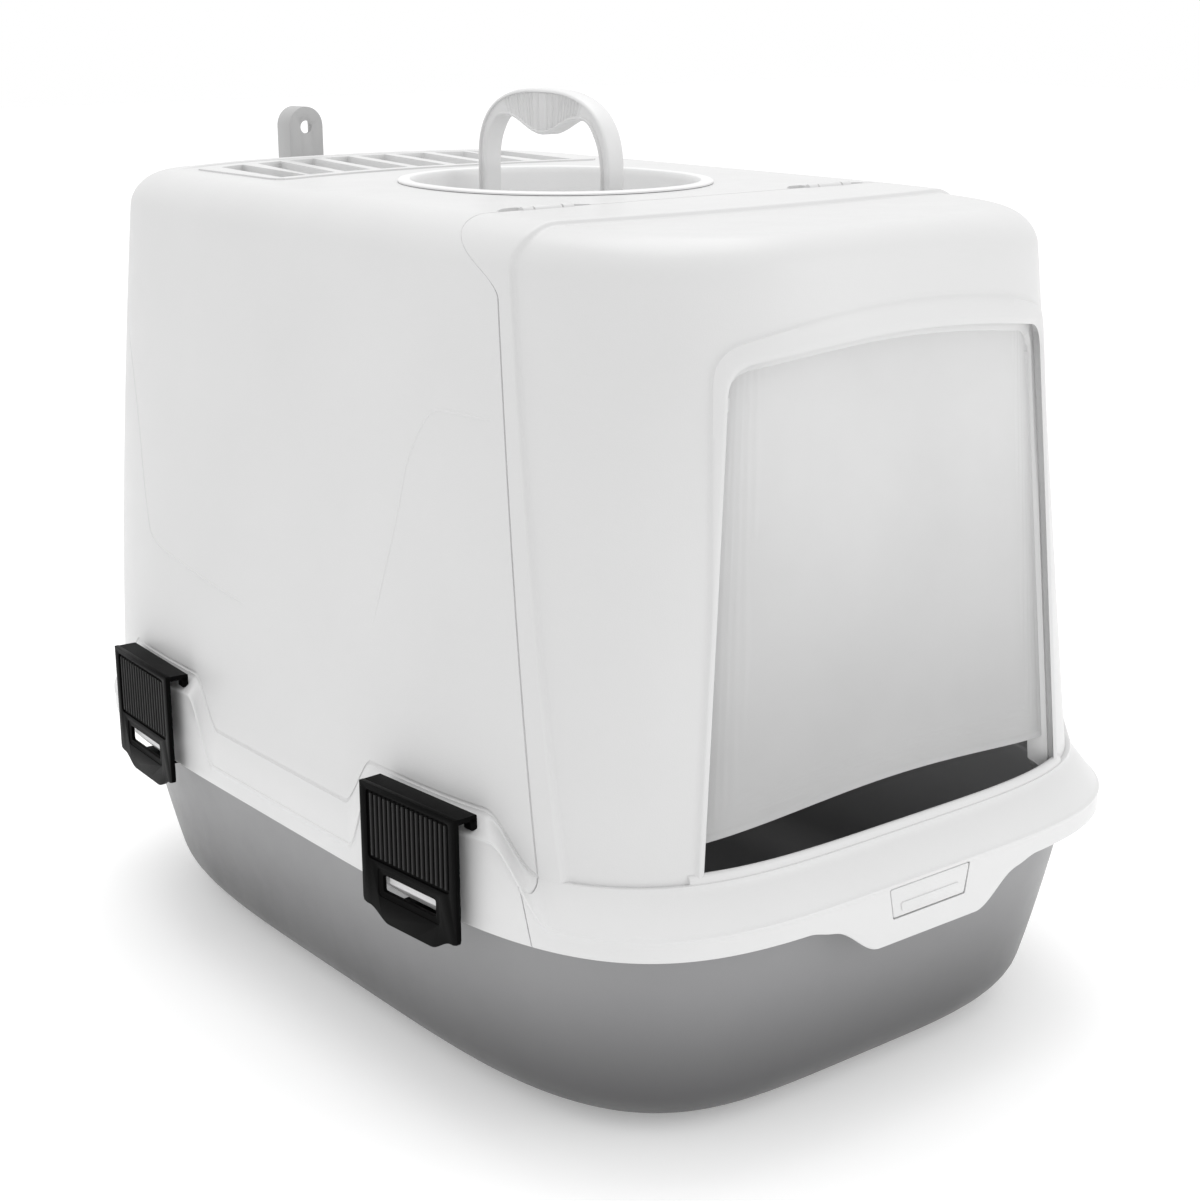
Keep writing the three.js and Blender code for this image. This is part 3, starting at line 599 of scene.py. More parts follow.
def arch_over(depth, offset, foot_z):
    """A line over the hood from the left foot to the right foot, at the depth that depth(x, z) gives."""
    centre_z = 250.0
    foot = math.atan2(foot_z - centre_z, 170.0)
    angles = np.linspace(foot, math.pi - foot, 1201)
    direction = np.stack([-np.cos(angles), np.sin(angles)], -1)
    near, far = np.zeros(len(angles)), np.full(len(angles), 400.0)
    for _ in range(40):
        middle = (near + far) / 2
        x, z = direction[:, 0] * middle, centre_z + direction[:, 1] * middle
        within = inside_hood(np.stack([x, depth(x, z), z], -1), offset)
        near, far = np.where(within, middle, near), np.where(within, far, middle)
    x, z = direction[:, 0] * near, centre_z + direction[:, 1] * near
    return np.stack([x, depth(x, z), z], -1)


def respaced(line, shares):
    """Points of a polyline at these shares of its length."""
    length = np.concatenate([[0], np.cumsum(np.linalg.norm(np.diff(line, axis=0), axis=1))])
    at = np.asarray(shares) * length[-1]
    return np.stack([np.interp(at, length, line[:, k]) for k in range(line.shape[1])], -1)


def matched(line, corner, count_side, count_top):
    """A symmetric line from foot to foot with an even number of points up to its corner and over its top."""
    length = np.concatenate([[0], np.cumsum(np.linalg.norm(np.diff(line, axis=0), axis=1))])
    share = np.interp(corner, np.arange(len(line)), length) / length[-1]
    side = np.linspace(0, share, count_side, endpoint=False)
    top = np.linspace(share, 1 - share, count_top, endpoint=False)
    last = np.linspace(1 - share, 1, count_side)
    return respaced(line, np.concatenate([side, top, last]))


# ------------------------------------------------------------------ hood and skirt

def loft_rings(levels, angles):
    """One ring of points per (plan, height) pair; a plan may hold arrays, one value per angle."""
    rings = []
    for plan, z in levels:
        x, y = outline(plan, angles)
        rings.append(np.stack([x, y, np.broadcast_to(z, x.shape)], -1))
    return np.array(rings)


def roof_cap(offset, angles, rings):
    """Rings that close a roof towards its middle, along lines that keep the plan's shape."""
    plan = hood_plan(ROOF_Z + offset, offset)
    x, y = outline(plan, angles)
    middle = (plan[1] + plan[2]) / 2
    shares = np.linspace(1, 0.04, rings + 1)[1:]
    z = ROOF_Z + offset
    return [np.stack([x * s, middle + (y - middle) * s, np.full(x.shape, z)], -1) for s in shares]


def hood_shell():
    angles = even_angles(hood_plan(290), 430)
    skins = []
    for offset in (0.0, -WALL):
        bend = ROOF_BEND + offset
        top = ROOF_Z + offset
        heights = np.concatenate([np.linspace(SHELL_FOOT_Z, top - bend, 64, endpoint=False),
                                  top - bend + bend * np.sin(np.linspace(0, math.pi / 2, 12))])
        rings = list(loft_rings([(hood_plan(z, offset), z) for z in heights], angles))
        skins.append(rings + roof_cap(offset, angles, 16))
    outer, inner = skins
    shell = vessel("hood_shell", np.array(outer))
    hollow = vessel("hood_hollow", np.array([inner[0] - (0, 0, 9)] + inner))
    return combine(shell, hollow)


def pad_share(y):
    """How far the skirt has risen towards its latch pads at depth y."""
    front = smooth(y, -220, -186) * (1 - smooth(y, -98, -77))
    rear = smooth(y, 62, 87) * (1 - smooth(y, 172, 197))
    return front + rear


def lobe_z(x):
    """Height of the skirt's lower edge in front, where the lobe hangs down for the catch."""
    reach = np.abs(x)
    drop = mixed(LOBE_Z, SKIRT_Z - 3.4, smooth(reach, 33, 63))
    return mixed(drop, SKIRT_Z, smooth(reach, 60, 78))


def rim_plan(inset):
    return grown(RIM, -inset)


def skirt_ring():
    """The whole skirt: a band on the pan's lip, a flange that rises over the latch pads, a lobe in front."""
    angles = even_angles(RIM, 900)
    rim_x, rim_y = outline(RIM, angles)
    side = np.abs(rim_x) > 100
    rise = np.where(side, pad_share(rim_y), 0)
    crease = mixed(CREASE_Z, PAD_CREASE_Z, rise)
    joint = mixed(FLANGE_Z, PAD_FLANGE_Z, rise)
    low = np.where((rim_y < 0) & ~side, lobe_z(rim_x), SKIRT_Z)
    low = np.where((rim_y < 0) & side, SKIRT_Z, low)

    def on_rim(inset, z):
        return plan_row(rim_plan(inset), angles, z)

    def on_wall(offset, z):
        return plan_row(hood_plan(z, offset), angles, z)

    def bend(start, corner, end, share):
        return (1 - share) ** 2 * start + 2 * share * (1 - share) * corner + share**2 * end

    corner = on_rim(0.5, crease)
    meets = on_wall(0.05, joint)
    slope = lambda share: mixed(corner, meets, share)
    rows = [on_rim(0.9, low), on_rim(0.25, low + 0.35), on_rim(0.0, low + 1.1)]
    quarters = (0.25, 0.5, 0.75, 1)
    rows += [mixed(on_rim(0.0, low + 1.1), on_rim(0.3, crease - 2.8), share) for share in quarters]
    rows += [on_rim(0.05, crease - 2.1), on_rim(-0.3, crease - 1.3), on_rim(-0.32, crease - 0.7),
             on_rim(0.0, crease - 0.15), on_rim(0.55, crease + 0.1), slope(0.09), slope(0.16)]
    rows += [slope(share) for share in (0.3, 0.5)]
    top = on_wall(0.05, joint + 1.6)
    rows += [bend(slope(0.86), meets, top, share) for share in (0, 0.25, 0.5, 0.75, 1)]
    rows += [on_wall(-1.2, joint + 1.8), on_wall(-WALL, joint + 1)]
    rows += [on_wall(-WALL, joint - 1.5), on_rim(WALL + 0.4, crease - WALL)]
    rows += [on_rim(WALL, mixed(crease - WALL, low + 0.6, share)) for share in (0.5, 1)]
    rows += [on_rim(WALL - 0.6, low)]
    return ring("skirt_ring", np.array(rows))


def skirt_groove():
    """A fine groove in the wall along the top of the skirt's flange."""
    angles = even_angles(RIM, 900)
    rim_x, rim_y = outline(RIM, angles)
    rise = np.where(np.abs(rim_x) > 100, pad_share(rim_y), 0)
    line_z = mixed(FLANGE_Z, PAD_FLANGE_Z, rise) + 2.3
    rows = []
    for turn in np.linspace(0, 2 * math.pi, 10, endpoint=False):
        z = line_z - math.sin(turn)
        rows.append(plan_row(hood_plan(z, 0.1 + 0.7 * math.cos(turn)), angles, z))
    return ring("skirt_groove", np.array(rows))


def side_profile(name, loop, half=320.0):
    """A straight cutter across the whole width with the given (y, z) outline."""
    return prism(name, loop, 0, -half, half)


def parting_cutter(gap):
    """Everything in front of the joint between cover and hood, moved forwards by gap."""
    heights = np.concatenate([[60.0], np.linspace(100, 388, 6), np.linspace(391, ROOF_Z + 4, 30)])
    edge = [(float(parting_y(0, z) - gap * joint_gap(z)), z) for z in heights]
    return side_profile("parting", edge + [(edge[-1][0], 520), (-420, 520), (-420, 60)])


def well_plan(inset):
    """Plan of the handle well at its mouth, moved inwards by inset."""
    low, high = box_mm("handle_well")
    middle = (low[1] + high[1]) / 2
    half, reach = high[0] - 7 - inset, (high[1] - low[1]) / 2 - 7 - inset
    return half, middle - reach, middle + reach, 2.15, 2.15


WELL_TOP = box_mm("handle_well")[1][2]
WELL_FLOOR = box_mm("handle_well")[0][2] + WALL


def plan_column(name, plan, low, high, count=160):
    angles = even_angles(plan, count)
    x, y = outline(plan, angles)
    return prism(name, np.stack([x, y], -1), 2, low, high)


VENT_HALF, VENT_FRONT, VENT_FRONT_ARCH, VENT_REAR, VENT_REAR_ARCH = 112.0, 130.0, 18.0, 238.0, 30.0
SLOT_COUNT, SLOT_PITCH, SLOT_WIDTH, SLOT_SLANT = 8, 26.0, 19.0, 17.0


def vent_front(x, margin):
    return VENT_FRONT - VENT_FRONT_ARCH * (x / VENT_HALF) ** 2 + margin


def vent_rear(x, margin):
    return VENT_REAR - VENT_REAR_ARCH * (x / VENT_HALF) ** 2 - margin


def vent_outline(low, high, slant, margin, corner, steps=9):
    """Outline of a piece of the vent field between two lines that run back and lean to +X by slant."""
    across = np.linspace(0, 1, steps)
    front_x = low + (high - low) * across
    rear_x = front_x[::-1]
    front = np.stack([front_x - slant / 2, vent_front(front_x, margin)], -1)
    rear = np.stack([rear_x + slant / 2, vent_rear(rear_x, margin)], -1)
    points = np.vstack([front, rear])
    radii = np.zeros(len(points)) + 0.01
    radii[[0, steps - 1, steps, 2 * steps - 1]] = corner
    return rounded(points, radii, 3)


def peg_holes(radius):
    return [prism("peg_hole", ellipse(radius, radius, 24, (x, PEG_Z)), 1, 230, 275) for x in (-PEG_X, PEG_X)]


def build_hood():
    skirt = skirt_ring()
    shell = hood_shell()
    front_skirt = skirt.copy()
    front_skirt.data = skirt.data.copy()
    bpy.context.scene.collection.objects.link(front_skirt)
    combine(shell, skirt, "UNION")
    combine(shell, skirt_groove())
    combine(shell, parting_cutter(-0.35))
    combine(shell, plan_column("well_hole", well_plan(-3.3), ROOF_Z - 12, ROOF_Z + 12))
    vent = vent_outline(-VENT_HALF + 3, VENT_HALF - 3, 0, 3, 8)
    combine(shell, prism("vent_hole", vent, 2, ROOF_Z - 12, ROOF_Z + 12))
    for hole in peg_holes(3.3):
        combine(shell, hole)
    for side in (-1, 1):
        for end in (-1, 1):
            inner, outer = side * HINGE_SPREAD + end * 8.5, side * HINGE_SPREAD + end * 27
            front, rear = HINGE_Y - 4, HINGE_Y + 12
            wedge = rounded([(inner, front), (inner, rear), (mixed(inner, outer, 0.45), rear),
                             (outer, HINGE_Y + 3), (outer, front)], [0.5, 2, 5, 1.5, 0.5], 4)
            if (outer - inner) < 0:
                wedge = wedge[::-1]
            combine(shell, prism("hinge_pocket", wedge, 2, ROOF_Z - 2.7, ROOF_Z + 5))
    settle(shell, "white_plastic", "box", "hood")
    return front_skirt


FRONT_SKIRT = build_hood()


# ------------------------------------------------------------------ front cover

SILL_HALF, OPENING_TAPER, OPENING_TOP, OPENING_ARCH, OPENING_CORNER = 120.4, 0.0855, 379.0, 8.0, 12.0


def opening_half(z):
    return SILL_HALF - (z - SILL_Z) * OPENING_TAPER


def opening_top(x):
    return OPENING_TOP - OPENING_ARCH * (x / 95) ** 2


def doorway(margin, foot_z, corner=OPENING_CORNER):
    """The doorway in front view from its left foot over the top to its right foot, moved out by margin."""
    top_x = np.linspace(-110, 110, 201)
    top = np.stack([top_x, opening_top(top_x) + margin], -1)
    edge = lambda z: opening_half(z) + margin
    cross = next(k for k, (x, z) in enumerate(top) if -x <= edge(z))
    top = top[cross:len(top) - cross]
    top[0, 0], top[-1, 0] = -edge(top[0, 1]), edge(top[-1, 1])
    left, right = top[0].copy(), top[-1].copy()
    foot = np.array([edge(foot_z), foot_z])
    radius = corner + max(margin, 0) * 0.5
    length = np.concatenate([[0], np.cumsum(np.linalg.norm(np.diff(top, axis=0), axis=1))])
    along_top = lambda s: np.array([np.interp(s, length, top[:, k]) for k in (0, 1)])
    down = np.array([foot[0] - right[0], foot[1] - right[1]])
    down = down / np.linalg.norm(down)
    turn = [(1 - t) ** 2 * along_top(radius) + 2 * t * (1 - t) * left
            + t**2 * (left + down * np.array([-1, 1]) * radius) for t in np.linspace(0, 1, 12)]
    middle = np.array([along_top(s) for s in np.linspace(radius, length[-1] - radius, 120)])
    turn = np.array(turn)
    side = np.array([mixed(np.array([-foot[0], foot[1]]), turn[-1], t) for t in np.linspace(0, 1, 100)])
    half = np.vstack([side[:-1], turn[::-1][:-1]])
    mirrored = half[::-1] * np.array([-1, 1])
    return np.vstack([half, middle, mirrored]), len(side) - 1  # the last is where the corner starts


COVER_EYE = np.array([0.0, -150.0, 245.0])


def toward(points):
    direction = points - COVER_EYE
    return direction / np.linalg.norm(direction, axis=-1, keepdims=True)


def on_front(line, offset):
    """The skin point in front of each (x, z) of a line in front view."""
    x, z = line[:, 0], line[:, 1]
    return np.stack([x, skin_y(x, z, offset), z], -1)


def cover_arch():
    """The cover's walls and roof, from the doorway's frame over the step to the joint with the hood."""
    line, corner = doorway(0.0, SHELL_FOOT_Z)
    side_count, top_count = 120, 190
    inner = matched(on_front(line, 0.0), corner, side_count, top_count)

    def over(depth, offset):
        arch = arch_over(depth, offset, SHELL_FOOT_Z)
        return matched(arch, int(np.argmin(np.abs(arch[:len(arch) // 2, 2] - 405))), side_count, top_count)

    step_line = over(crease_y, 0.0)
    joint = over(lambda x, z: parting_y(x, z) - 0.3 * joint_gap(z), 0.0)
    to_step = np.linalg.norm(step_line - inner, axis=1)
    to_joint = np.linalg.norm(joint - step_line, axis=1)
    border = mixed(3.6, 8.6, smooth(inner[:, 2], 250, 378))

    def face(distance, offset):
        return cast(COVER_EYE, toward(mixed(inner, step_line, (distance / to_step)[:, None])), offset)

    def band(share, offset):
        return cast(COVER_EYE, toward(mixed(step_line, joint, share[:, None])), offset)

    ones = np.ones(len(inner))
    flat = -FACE_STEP
    deep = on_front(matched(line, corner, side_count, top_count), 0.0)
    rows = [on_front(deep[:, (0, 2)], depth) for depth in (-13.0, -9.0, -5.0, -2.9)]
    rows += [face(0.25 * ones, flat + 0.3), face(1.0 * ones, flat + 1.15), face(2.0 * ones, flat + 1.35)]
    rows += [face(border * 0.6, flat + 1.3), face(border - 1.0, flat + 1.1), face(border, flat + 0.45)]
    rows += [face(border + 0.9, flat + 0.05)]
    start, stop = border + 2.4, to_step - 4.6
    rows += [face(mixed(start, stop, share), flat) for share in np.linspace(0, 1, 44)]
    for back, lift in ((3.4, 0.05), (2.6, 0.3), (2.0, 0.85), (1.4, 1.6), (0.8, 2.05), (0.1, 2.2)):
        rows.append(face(to_step - back, flat + lift))
    rows += [band(share * ones, 0.0) for share in np.linspace(0, 1, 22)[1:-1]]
    rows += [band(1 - 0.5 / to_joint, -0.05), band(ones, -0.6), band(ones, -WALL)]
    rows += [band(share * ones, -WALL) for share in (0.75, 0.5, 0.25)]
    rows += [face(to_step - 4, -WALL - 1.2), face(to_step - 8, flat - WALL + 0.4)]
    rows += [face(to_step * share, flat - WALL + 0.4) for share in (0.85, 0.7, 0.55, 0.4, 0.25)]
    rows += [face(border * 0.8, -WALL - 2.2), face(2.8 * ones, -6.0), face(2.6 * ones, -13.0)]
    return strip("cover_arch", np.array(rows), 40)


def cover_sill():
    """The low wall under the doorway."""
    x = np.linspace(-126, 126, 150)
    section = [(133.0, -0.6), (139.0, -0.6), (141.6, -0.75), (143.0, -1.2), (SILL_Z, -2.1), (SILL_Z, -3.1),
               (142.8, -3.9), (141.4, -4.1), (133.0, -4.1)]
    level = lambda z: z * np.ones_like(x)
    rows = [np.stack([x, skin_y(x, level(z), offset), level(z)], -1) for z, offset in section]
    return strip("cover_sill", np.array(rows))


def catch_outline(margin):
    top, low = 27 + margin, 24 + margin
    corners = [(-low, 104.5 - margin), (low, 104.5 - margin), (top, 119.5 + margin), (-top, 119.5 + margin)]
    return rounded(corners, [1.2] * 4, 4)


def build_cover(skirt):
    arch = cover_arch()
    sill = cover_sill()
    combine(skirt, parting_cutter(0.3), "INTERSECT")
    combine(skirt, sill, "UNION")
    hole = prism("catch_hole", catch_outline(0.6), 1, RIM_FRONT - 10, RIM_FRONT + 12)
    combine(skirt, hole)
    skirt.name = "cover_skirt"
    settle(arch, "white_plastic", "cover", "front_cover")
    settle(skirt, "white_plastic", "cover", "front_cover")


build_cover(FRONT_SKIRT)


# ------------------------------------------------------------------ swing door and catch

def build_door():
    """A bowed frosted panel with fine ribs beside its edges and a thicker band along its arched foot."""
    half_at = lambda z: opening_half(z) - 2.5
    top = lambda x: opening_top(x) - 3.0
    foot = lambda x: 155.0 + 9.5 * (1 - np.minimum(np.abs(x) / 116, 1) ** 2)
    columns, rows_count = 150, 150
    share_x = np.sin(np.linspace(-1, 1, columns) * math.pi / 2 * 0.999)
    share_x = mixed(share_x, np.linspace(-1, 1, columns), 0.55)
    share_z = np.linspace(0, 1, rows_count)
    front, back = [], []
    for v in share_z:
        v = mixed(v, (1 - math.cos(v * math.pi)) / 2, 0.5)
        x_mid = share_x * half_at(mixed(157.0, 372.0, v))
        low, high = foot(x_mid), top(x_mid)
        turn = np.clip(np.abs(x_mid) - (half_at(368) - 9), 0, 9)
        high = high - (9 - np.sqrt(np.maximum(81 - turn**2, 0)))
        z = mixed(low, high, v)
        x = share_x * half_at(z)
        from_side = half_at(z) - np.abs(x)
        from_foot = z - low
        nearest = np.minimum(from_side, from_foot)
        ribs = 0.32 * np.sin(np.clip((nearest - 4.0) / 15.0, 0, 1) * math.pi * 10) ** 2
        band = 0.9 * (1 - smooth(nearest, 2.2, 3.6))
        lift = ribs + band
        front.append(np.stack([x, skin_y(x, z, -8.0) - lift, z], -1))
        back.append(np.stack([x, skin_y(x, z, -8.0) + 1.9, z], -1))
    panel = slab("door_panel", np.array(front), np.array(back), 50)
    settle(panel, "frosted_plastic", "door", "swing_door")
    y, z = joint_point("door_swing")[1:]
    for side in (-1, 1):
        reach = half_at(z)
        start, stop = sorted((side * (reach - 7), side * (reach + 4.4)))
        settle(turned_rod("door_pin", (start, y, z), (stop, y, z), 1.9, 0.4), "frosted_plastic", "door")
        tab = [(y - 3.0, z - 3.4), (y + 2.4, z - 3.4), (y + 2.6, z + 3.0), (y - 2.8, z + 3.0)]
        low, high = sorted((side * (reach - 5.2), side * (reach - 2.4)))
        settle(round_edges(prism("door_ear", tab, 0, low, high), 0.5), "frosted_plastic", "door")


def turned_rod(name, start, stop, radius, edge=0.3, steps=28):
    """A round rod with softened ends."""
    start, stop = np.array(start, float), np.array(stop, float)
    axis = (stop - start) / np.linalg.norm(stop - start)
    other = np.array([0.0, 0, 1]) if abs(axis[2]) < 0.9 else np.array([1.0, 0, 0])
    u = np.cross(axis, other)
    u /= np.linalg.norm(u)
    v = np.cross(axis, u)
    length = np.linalg.norm(stop - start)
    profile = [(0.0, radius - edge), (edge * 0.3, radius - edge * 0.3), (edge, radius),
               (length - edge, radius), (length - edge * 0.3, radius - edge * 0.3), (length, radius - edge)]
    angles = np.linspace(0, 2 * math.pi, steps, endpoint=False)
    circle = np.cos(angles)[:, None] * u + np.sin(angles)[:, None] * v
    rings = [start + axis * t + circle * r for t, r in profile]
    return vessel(name, np.array(rings), 50)


def build_catch():
    """The sprung tab in the lobe, with a raised bar low on its face and a nib low on its back."""
    plate = prism("catch_tab", catch_outline(0.0), 1, RIM_FRONT + 0.3, RIM_FRONT + 2.7)
    round_edges(plate, 0.5, 3)
    bar = rounded([(-19, 107.0), (19, 107.0), (20, 111.4), (-20, 111.4)], [1.4] * 4, 4)
    bar = round_edges(prism("catch_bar", bar, 1, RIM_FRONT - 0.35, RIM_FRONT + 1.5), 0.3)
    nib = round_edges(block("catch_nib", (-18, RIM_FRONT + 2, 105.5), (18, RIM_FRONT + 5, 108.3)), 0.4)
    settle(plate, "white_plastic", "catch", "front_catch")
    settle(bar, "white_plastic", "catch")
    settle(nib, "white_plastic", "catch")


build_door()
build_catch()


# ------------------------------------------------------------------ handle and its well

def swept(name, centre, section, up, closed=False, sharp=35.0):
    """Sweeps a closed (side, up) section along a line; up is the section's second direction at each point."""
    centre = np.asarray(centre, float)
    if closed:
        ahead = np.roll(centre, -1, 0) - np.roll(centre, 1, 0)
    else:
        ahead = np.gradient(centre, axis=0)
    ahead /= np.linalg.norm(ahead, axis=1, keepdims=True)
    up = np.broadcast_to(np.asarray(up, float), centre.shape)
    side = np.cross(ahead, up)
    side /= np.linalg.norm(side, axis=1, keepdims=True)
    top = np.cross(side, ahead)
    section = np.asarray(section, float)
    if section.ndim == 2:
        section = np.broadcast_to(section[:, None, :], (len(section), len(centre), 2))
    grid = centre[None] + section[..., :1] * side[None] + section[..., 1:] * top[None]
    return (ring if closed else strip)(name, grid, sharp)


def build_well():
    angles = even_angles(well_plan(0), 260)

    def at(inset, z):
        return plan_row(well_plan(inset), angles, z)

    draft = 2.0
    wall = lambda z: draft * (WELL_TOP - z) / (WELL_TOP - WELL_FLOOR)
    rows = [at(-7.0, WELL_TOP - 1.5), at(-7.0, WELL_TOP - 0.7), at(-6.4, WELL_TOP - 0.15), at(-5.6, WELL_TOP)]
    rows += [at(-1.6, WELL_TOP), at(-0.7, WELL_TOP - 0.25), at(0.0, WELL_TOP - 1.2)]
    bend = 5.0
    rows += [at(wall(z), z) for z in np.linspace(WELL_TOP - 4, WELL_FLOOR + bend, 12)]
    rows += [at(wall(WELL_FLOOR) + bend * (1 - math.cos(t)), WELL_FLOOR + bend * (1 - math.sin(t)))
             for t in np.linspace(0, math.pi / 2, 7)[1:]]
    full = well_plan(0)[0]
    foot = wall(WELL_FLOOR)
    inner = [at(foot + bend + (full - 14) * share, WELL_FLOOR) for share in np.linspace(0, 1, 12)[1:]]
    under = [at(foot + bend + (full - 14) * share, WELL_FLOOR - WALL) for share in np.linspace(1, 0, 8)]
    outer = [at(foot - WALL + 1, WELL_FLOOR - WALL), at(foot - WALL, WELL_FLOOR - 1.5)]
    outer += [at(-WALL, WELL_TOP - 4), at(-WALL, WELL_TOP - 1.6)]
    grid = np.array(rows + inner + under + outer)
    count = len(rows) + len(inner)
    columns = grid.shape[1]
    faces = sheet_faces(len(grid), columns, True, True)
    hole = [(count - 1) * columns + c for c in range(columns)]
    drop = {tuple(face) for face in faces if all(i // columns in (count - 1, count) for i in face)}
    faces = [face for face in faces if tuple(face) not in drop]
    faces += [hole[::-1], [count * columns + c for c in range(columns)]]
    liner = new_piece("handle_well_liner", grid.reshape(-1, 3), faces)
    # the well's liner gets the lighter copy of the white: painted light in the well
    finish_piece(liner, PAINTED_LIGHT_WHITE, "box", "white_plastic", "handle_well")
    y0, z0 = joint_point("handle_fold")[1:]
    post_spread, bore_radius = 59.8, 3.4
    for end in (-1, 1):
        near = y0 + end * post_spread
        arc = [(8 * math.cos(t), z0 + 8 * math.sin(t)) for t in np.linspace(0, math.pi, 20)]
        foot = [(-9, WELL_FLOOR - 1), (9, WELL_FLOOR - 1)]
        post = prism("handle_post", foot + arc, 1, *sorted((near, near + end * 8)))
        bore = ellipse(bore_radius, bore_radius, 24, (0, z0))
        combine(post, prism("post_bore", bore, 1, *sorted((near - end, near + end * 9))))
        round_edges(post, 0.6, 2, 60)
        settle(post, "white_plastic", "box")
        rib = prism("post_rib", [(near + end * 7.9, WELL_FLOOR - 1), (near + end * 10.5, WELL_FLOOR - 1),
                                 (near + end * 7.9, z0 + 3)], 0, -1.2, 1.2)
        settle(round_edges(rib, 0.3), "white_plastic", "box")


def build_handle():
    """A bail with round-edged rims, recessed side faces, and a waved grip with fine ribs across it."""
    y0, z0 = joint_point("handle_fold")[1:]
    half, leg, arch_z, top_z, square = 58.8, 7.8, 432.0, 474.0, 2.6
    inner_corner, grip_z, wave_height, wave_share = 13, 454.5, 4.5, 0.62
    inner = half - leg
    count = 420
    t = np.linspace(0, 1, count)
    turn = np.pi * (1 - t)
    across_arch = np.sign(np.cos(turn)) * np.abs(np.cos(turn)) ** (2 / square)
    arch_height = np.abs(np.sin(turn)) ** (2 / square)
    outer_arch = np.stack([half * across_arch, arch_z + (top_z - arch_z) * arch_height], -1)
    wave_x = inner * across_arch
    round_in = np.clip((inner - np.abs(wave_x)) / inner_corner, 0, 1)
    level = grip_z - wave_height * np.cos(np.clip(wave_x / (inner * wave_share), -1.45, 1.45) * math.pi)
    inner_z = mixed(arch_z, level, np.sqrt(1 - (1 - round_in) ** 2))
    inner_arch = np.stack([wave_x, inner_z], -1)
    legs = np.linspace(0, 1, 26)[:-1]
    left_out = np.stack([-half * np.ones(25), mixed(z0 - 5, arch_z, legs)], -1)
    left_in = np.stack([-inner * np.ones(25), mixed(z0 - 5, arch_z, legs)], -1)
    outer = np.vstack([left_out, outer_arch, left_out[::-1] * (-1, 1)])
    inside = np.vstack([left_in, inner_arch, left_in[::-1] * (-1, 1)])
    across = inside - outer
    across = across / np.linalg.norm(across, axis=1, keepdims=True)
    wide, rim, sunk = 5.5, 1.7, 1.3
    section = [(wide - 1.4, 0.0), (wide - 0.5, 0.35), (wide, 1.1), (wide, rim), (wide - sunk, rim + 0.5)]
    rows = [(depth, inward, True) for depth, inward in section]
    rows += [(depth, inward, False) for depth, inward in section[::-1]]
    mirrored = [(-depth, inward, from_outer) for depth, inward, from_outer in rows[::-1]]
    grid = []
    rib_pitch, rib_reach = 2.8, 37
    ribs = np.clip(np.sin(outer[:, 0] * 2 * math.pi / rib_pitch), 0, 1)
    ribs = ribs * smooth(rib_reach - np.abs(outer[:, 0]), 0, 3)
    for depth, inward, from_outer in rows + mirrored:
        place = outer + across * inward if from_outer else inside - across * inward
        deep = np.full(len(outer), depth)
        if abs(depth) < wide - 1 and abs(depth) > 3.9 and inward > 1.6:
            deep = deep + np.sign(depth) * ribs
        grid.append(np.stack([deep, place[:, 0] + y0, place[:, 1]], -1))
    bail = strip("handle_bail", np.array(grid), 50)
    settle(bail, "white_plastic", "handle", "carry_handle")
    for end in (-1, 1):
        root = y0 + end * (half - 1)
        pin = turned_rod("handle_pin", (0, root, z0), (0, root + end * 7, z0), 3.0, 0.5)
        settle(pin, "white_plastic", "handle")


build_well()
build_handle()


# ------------------------------------------------------------------ vents and filter

def build_vents():
    """The grille in the roof, a plate whose bars have rounded tops, and the slitted screen under it."""
    outline_points = vent_outline(-VENT_HALF, VENT_HALF, 0, 0, 9)
    plate = prism("vent_grille", outline_points, 2, ROOF_Z - 5, ROOF_Z + 0.9)
    for index in range(SLOT_COUNT):
        x = (index - (SLOT_COUNT - 1) / 2) * SLOT_PITCH
        slant = SLOT_SLANT * (0.5 if abs(x) > 80 else 1)
        slot = vent_outline(x - SLOT_WIDTH / 2, x + SLOT_WIDTH / 2, slant, 7, 2.5)
        combine(plate, prism("vent_slot", slot, 2, ROOF_Z - 14, ROOF_Z + 5))
    round_edges(plate, 1.0, 3, 50)
    settle(plate, "white_plastic", "box")
    field = vent_outline(-VENT_HALF + 2, VENT_HALF - 2, 0, 2, 8)
    screen = prism("vent_screen", field, 2, ROOF_Z - 7, ROOF_Z - 5.2)
    for y in range(140, 175, 5):
        combine(screen, block("screen_slit", (-99, y, ROOF_Z - 9), (-85, y + 3, ROOF_Z)))
    # the screen gets the lighter copy of the white: painted light in the vent slots
    finish_piece(round_edges(screen, 0.3, 2, 60), PAINTED_LIGHT_WHITE, "box", "white_plastic")


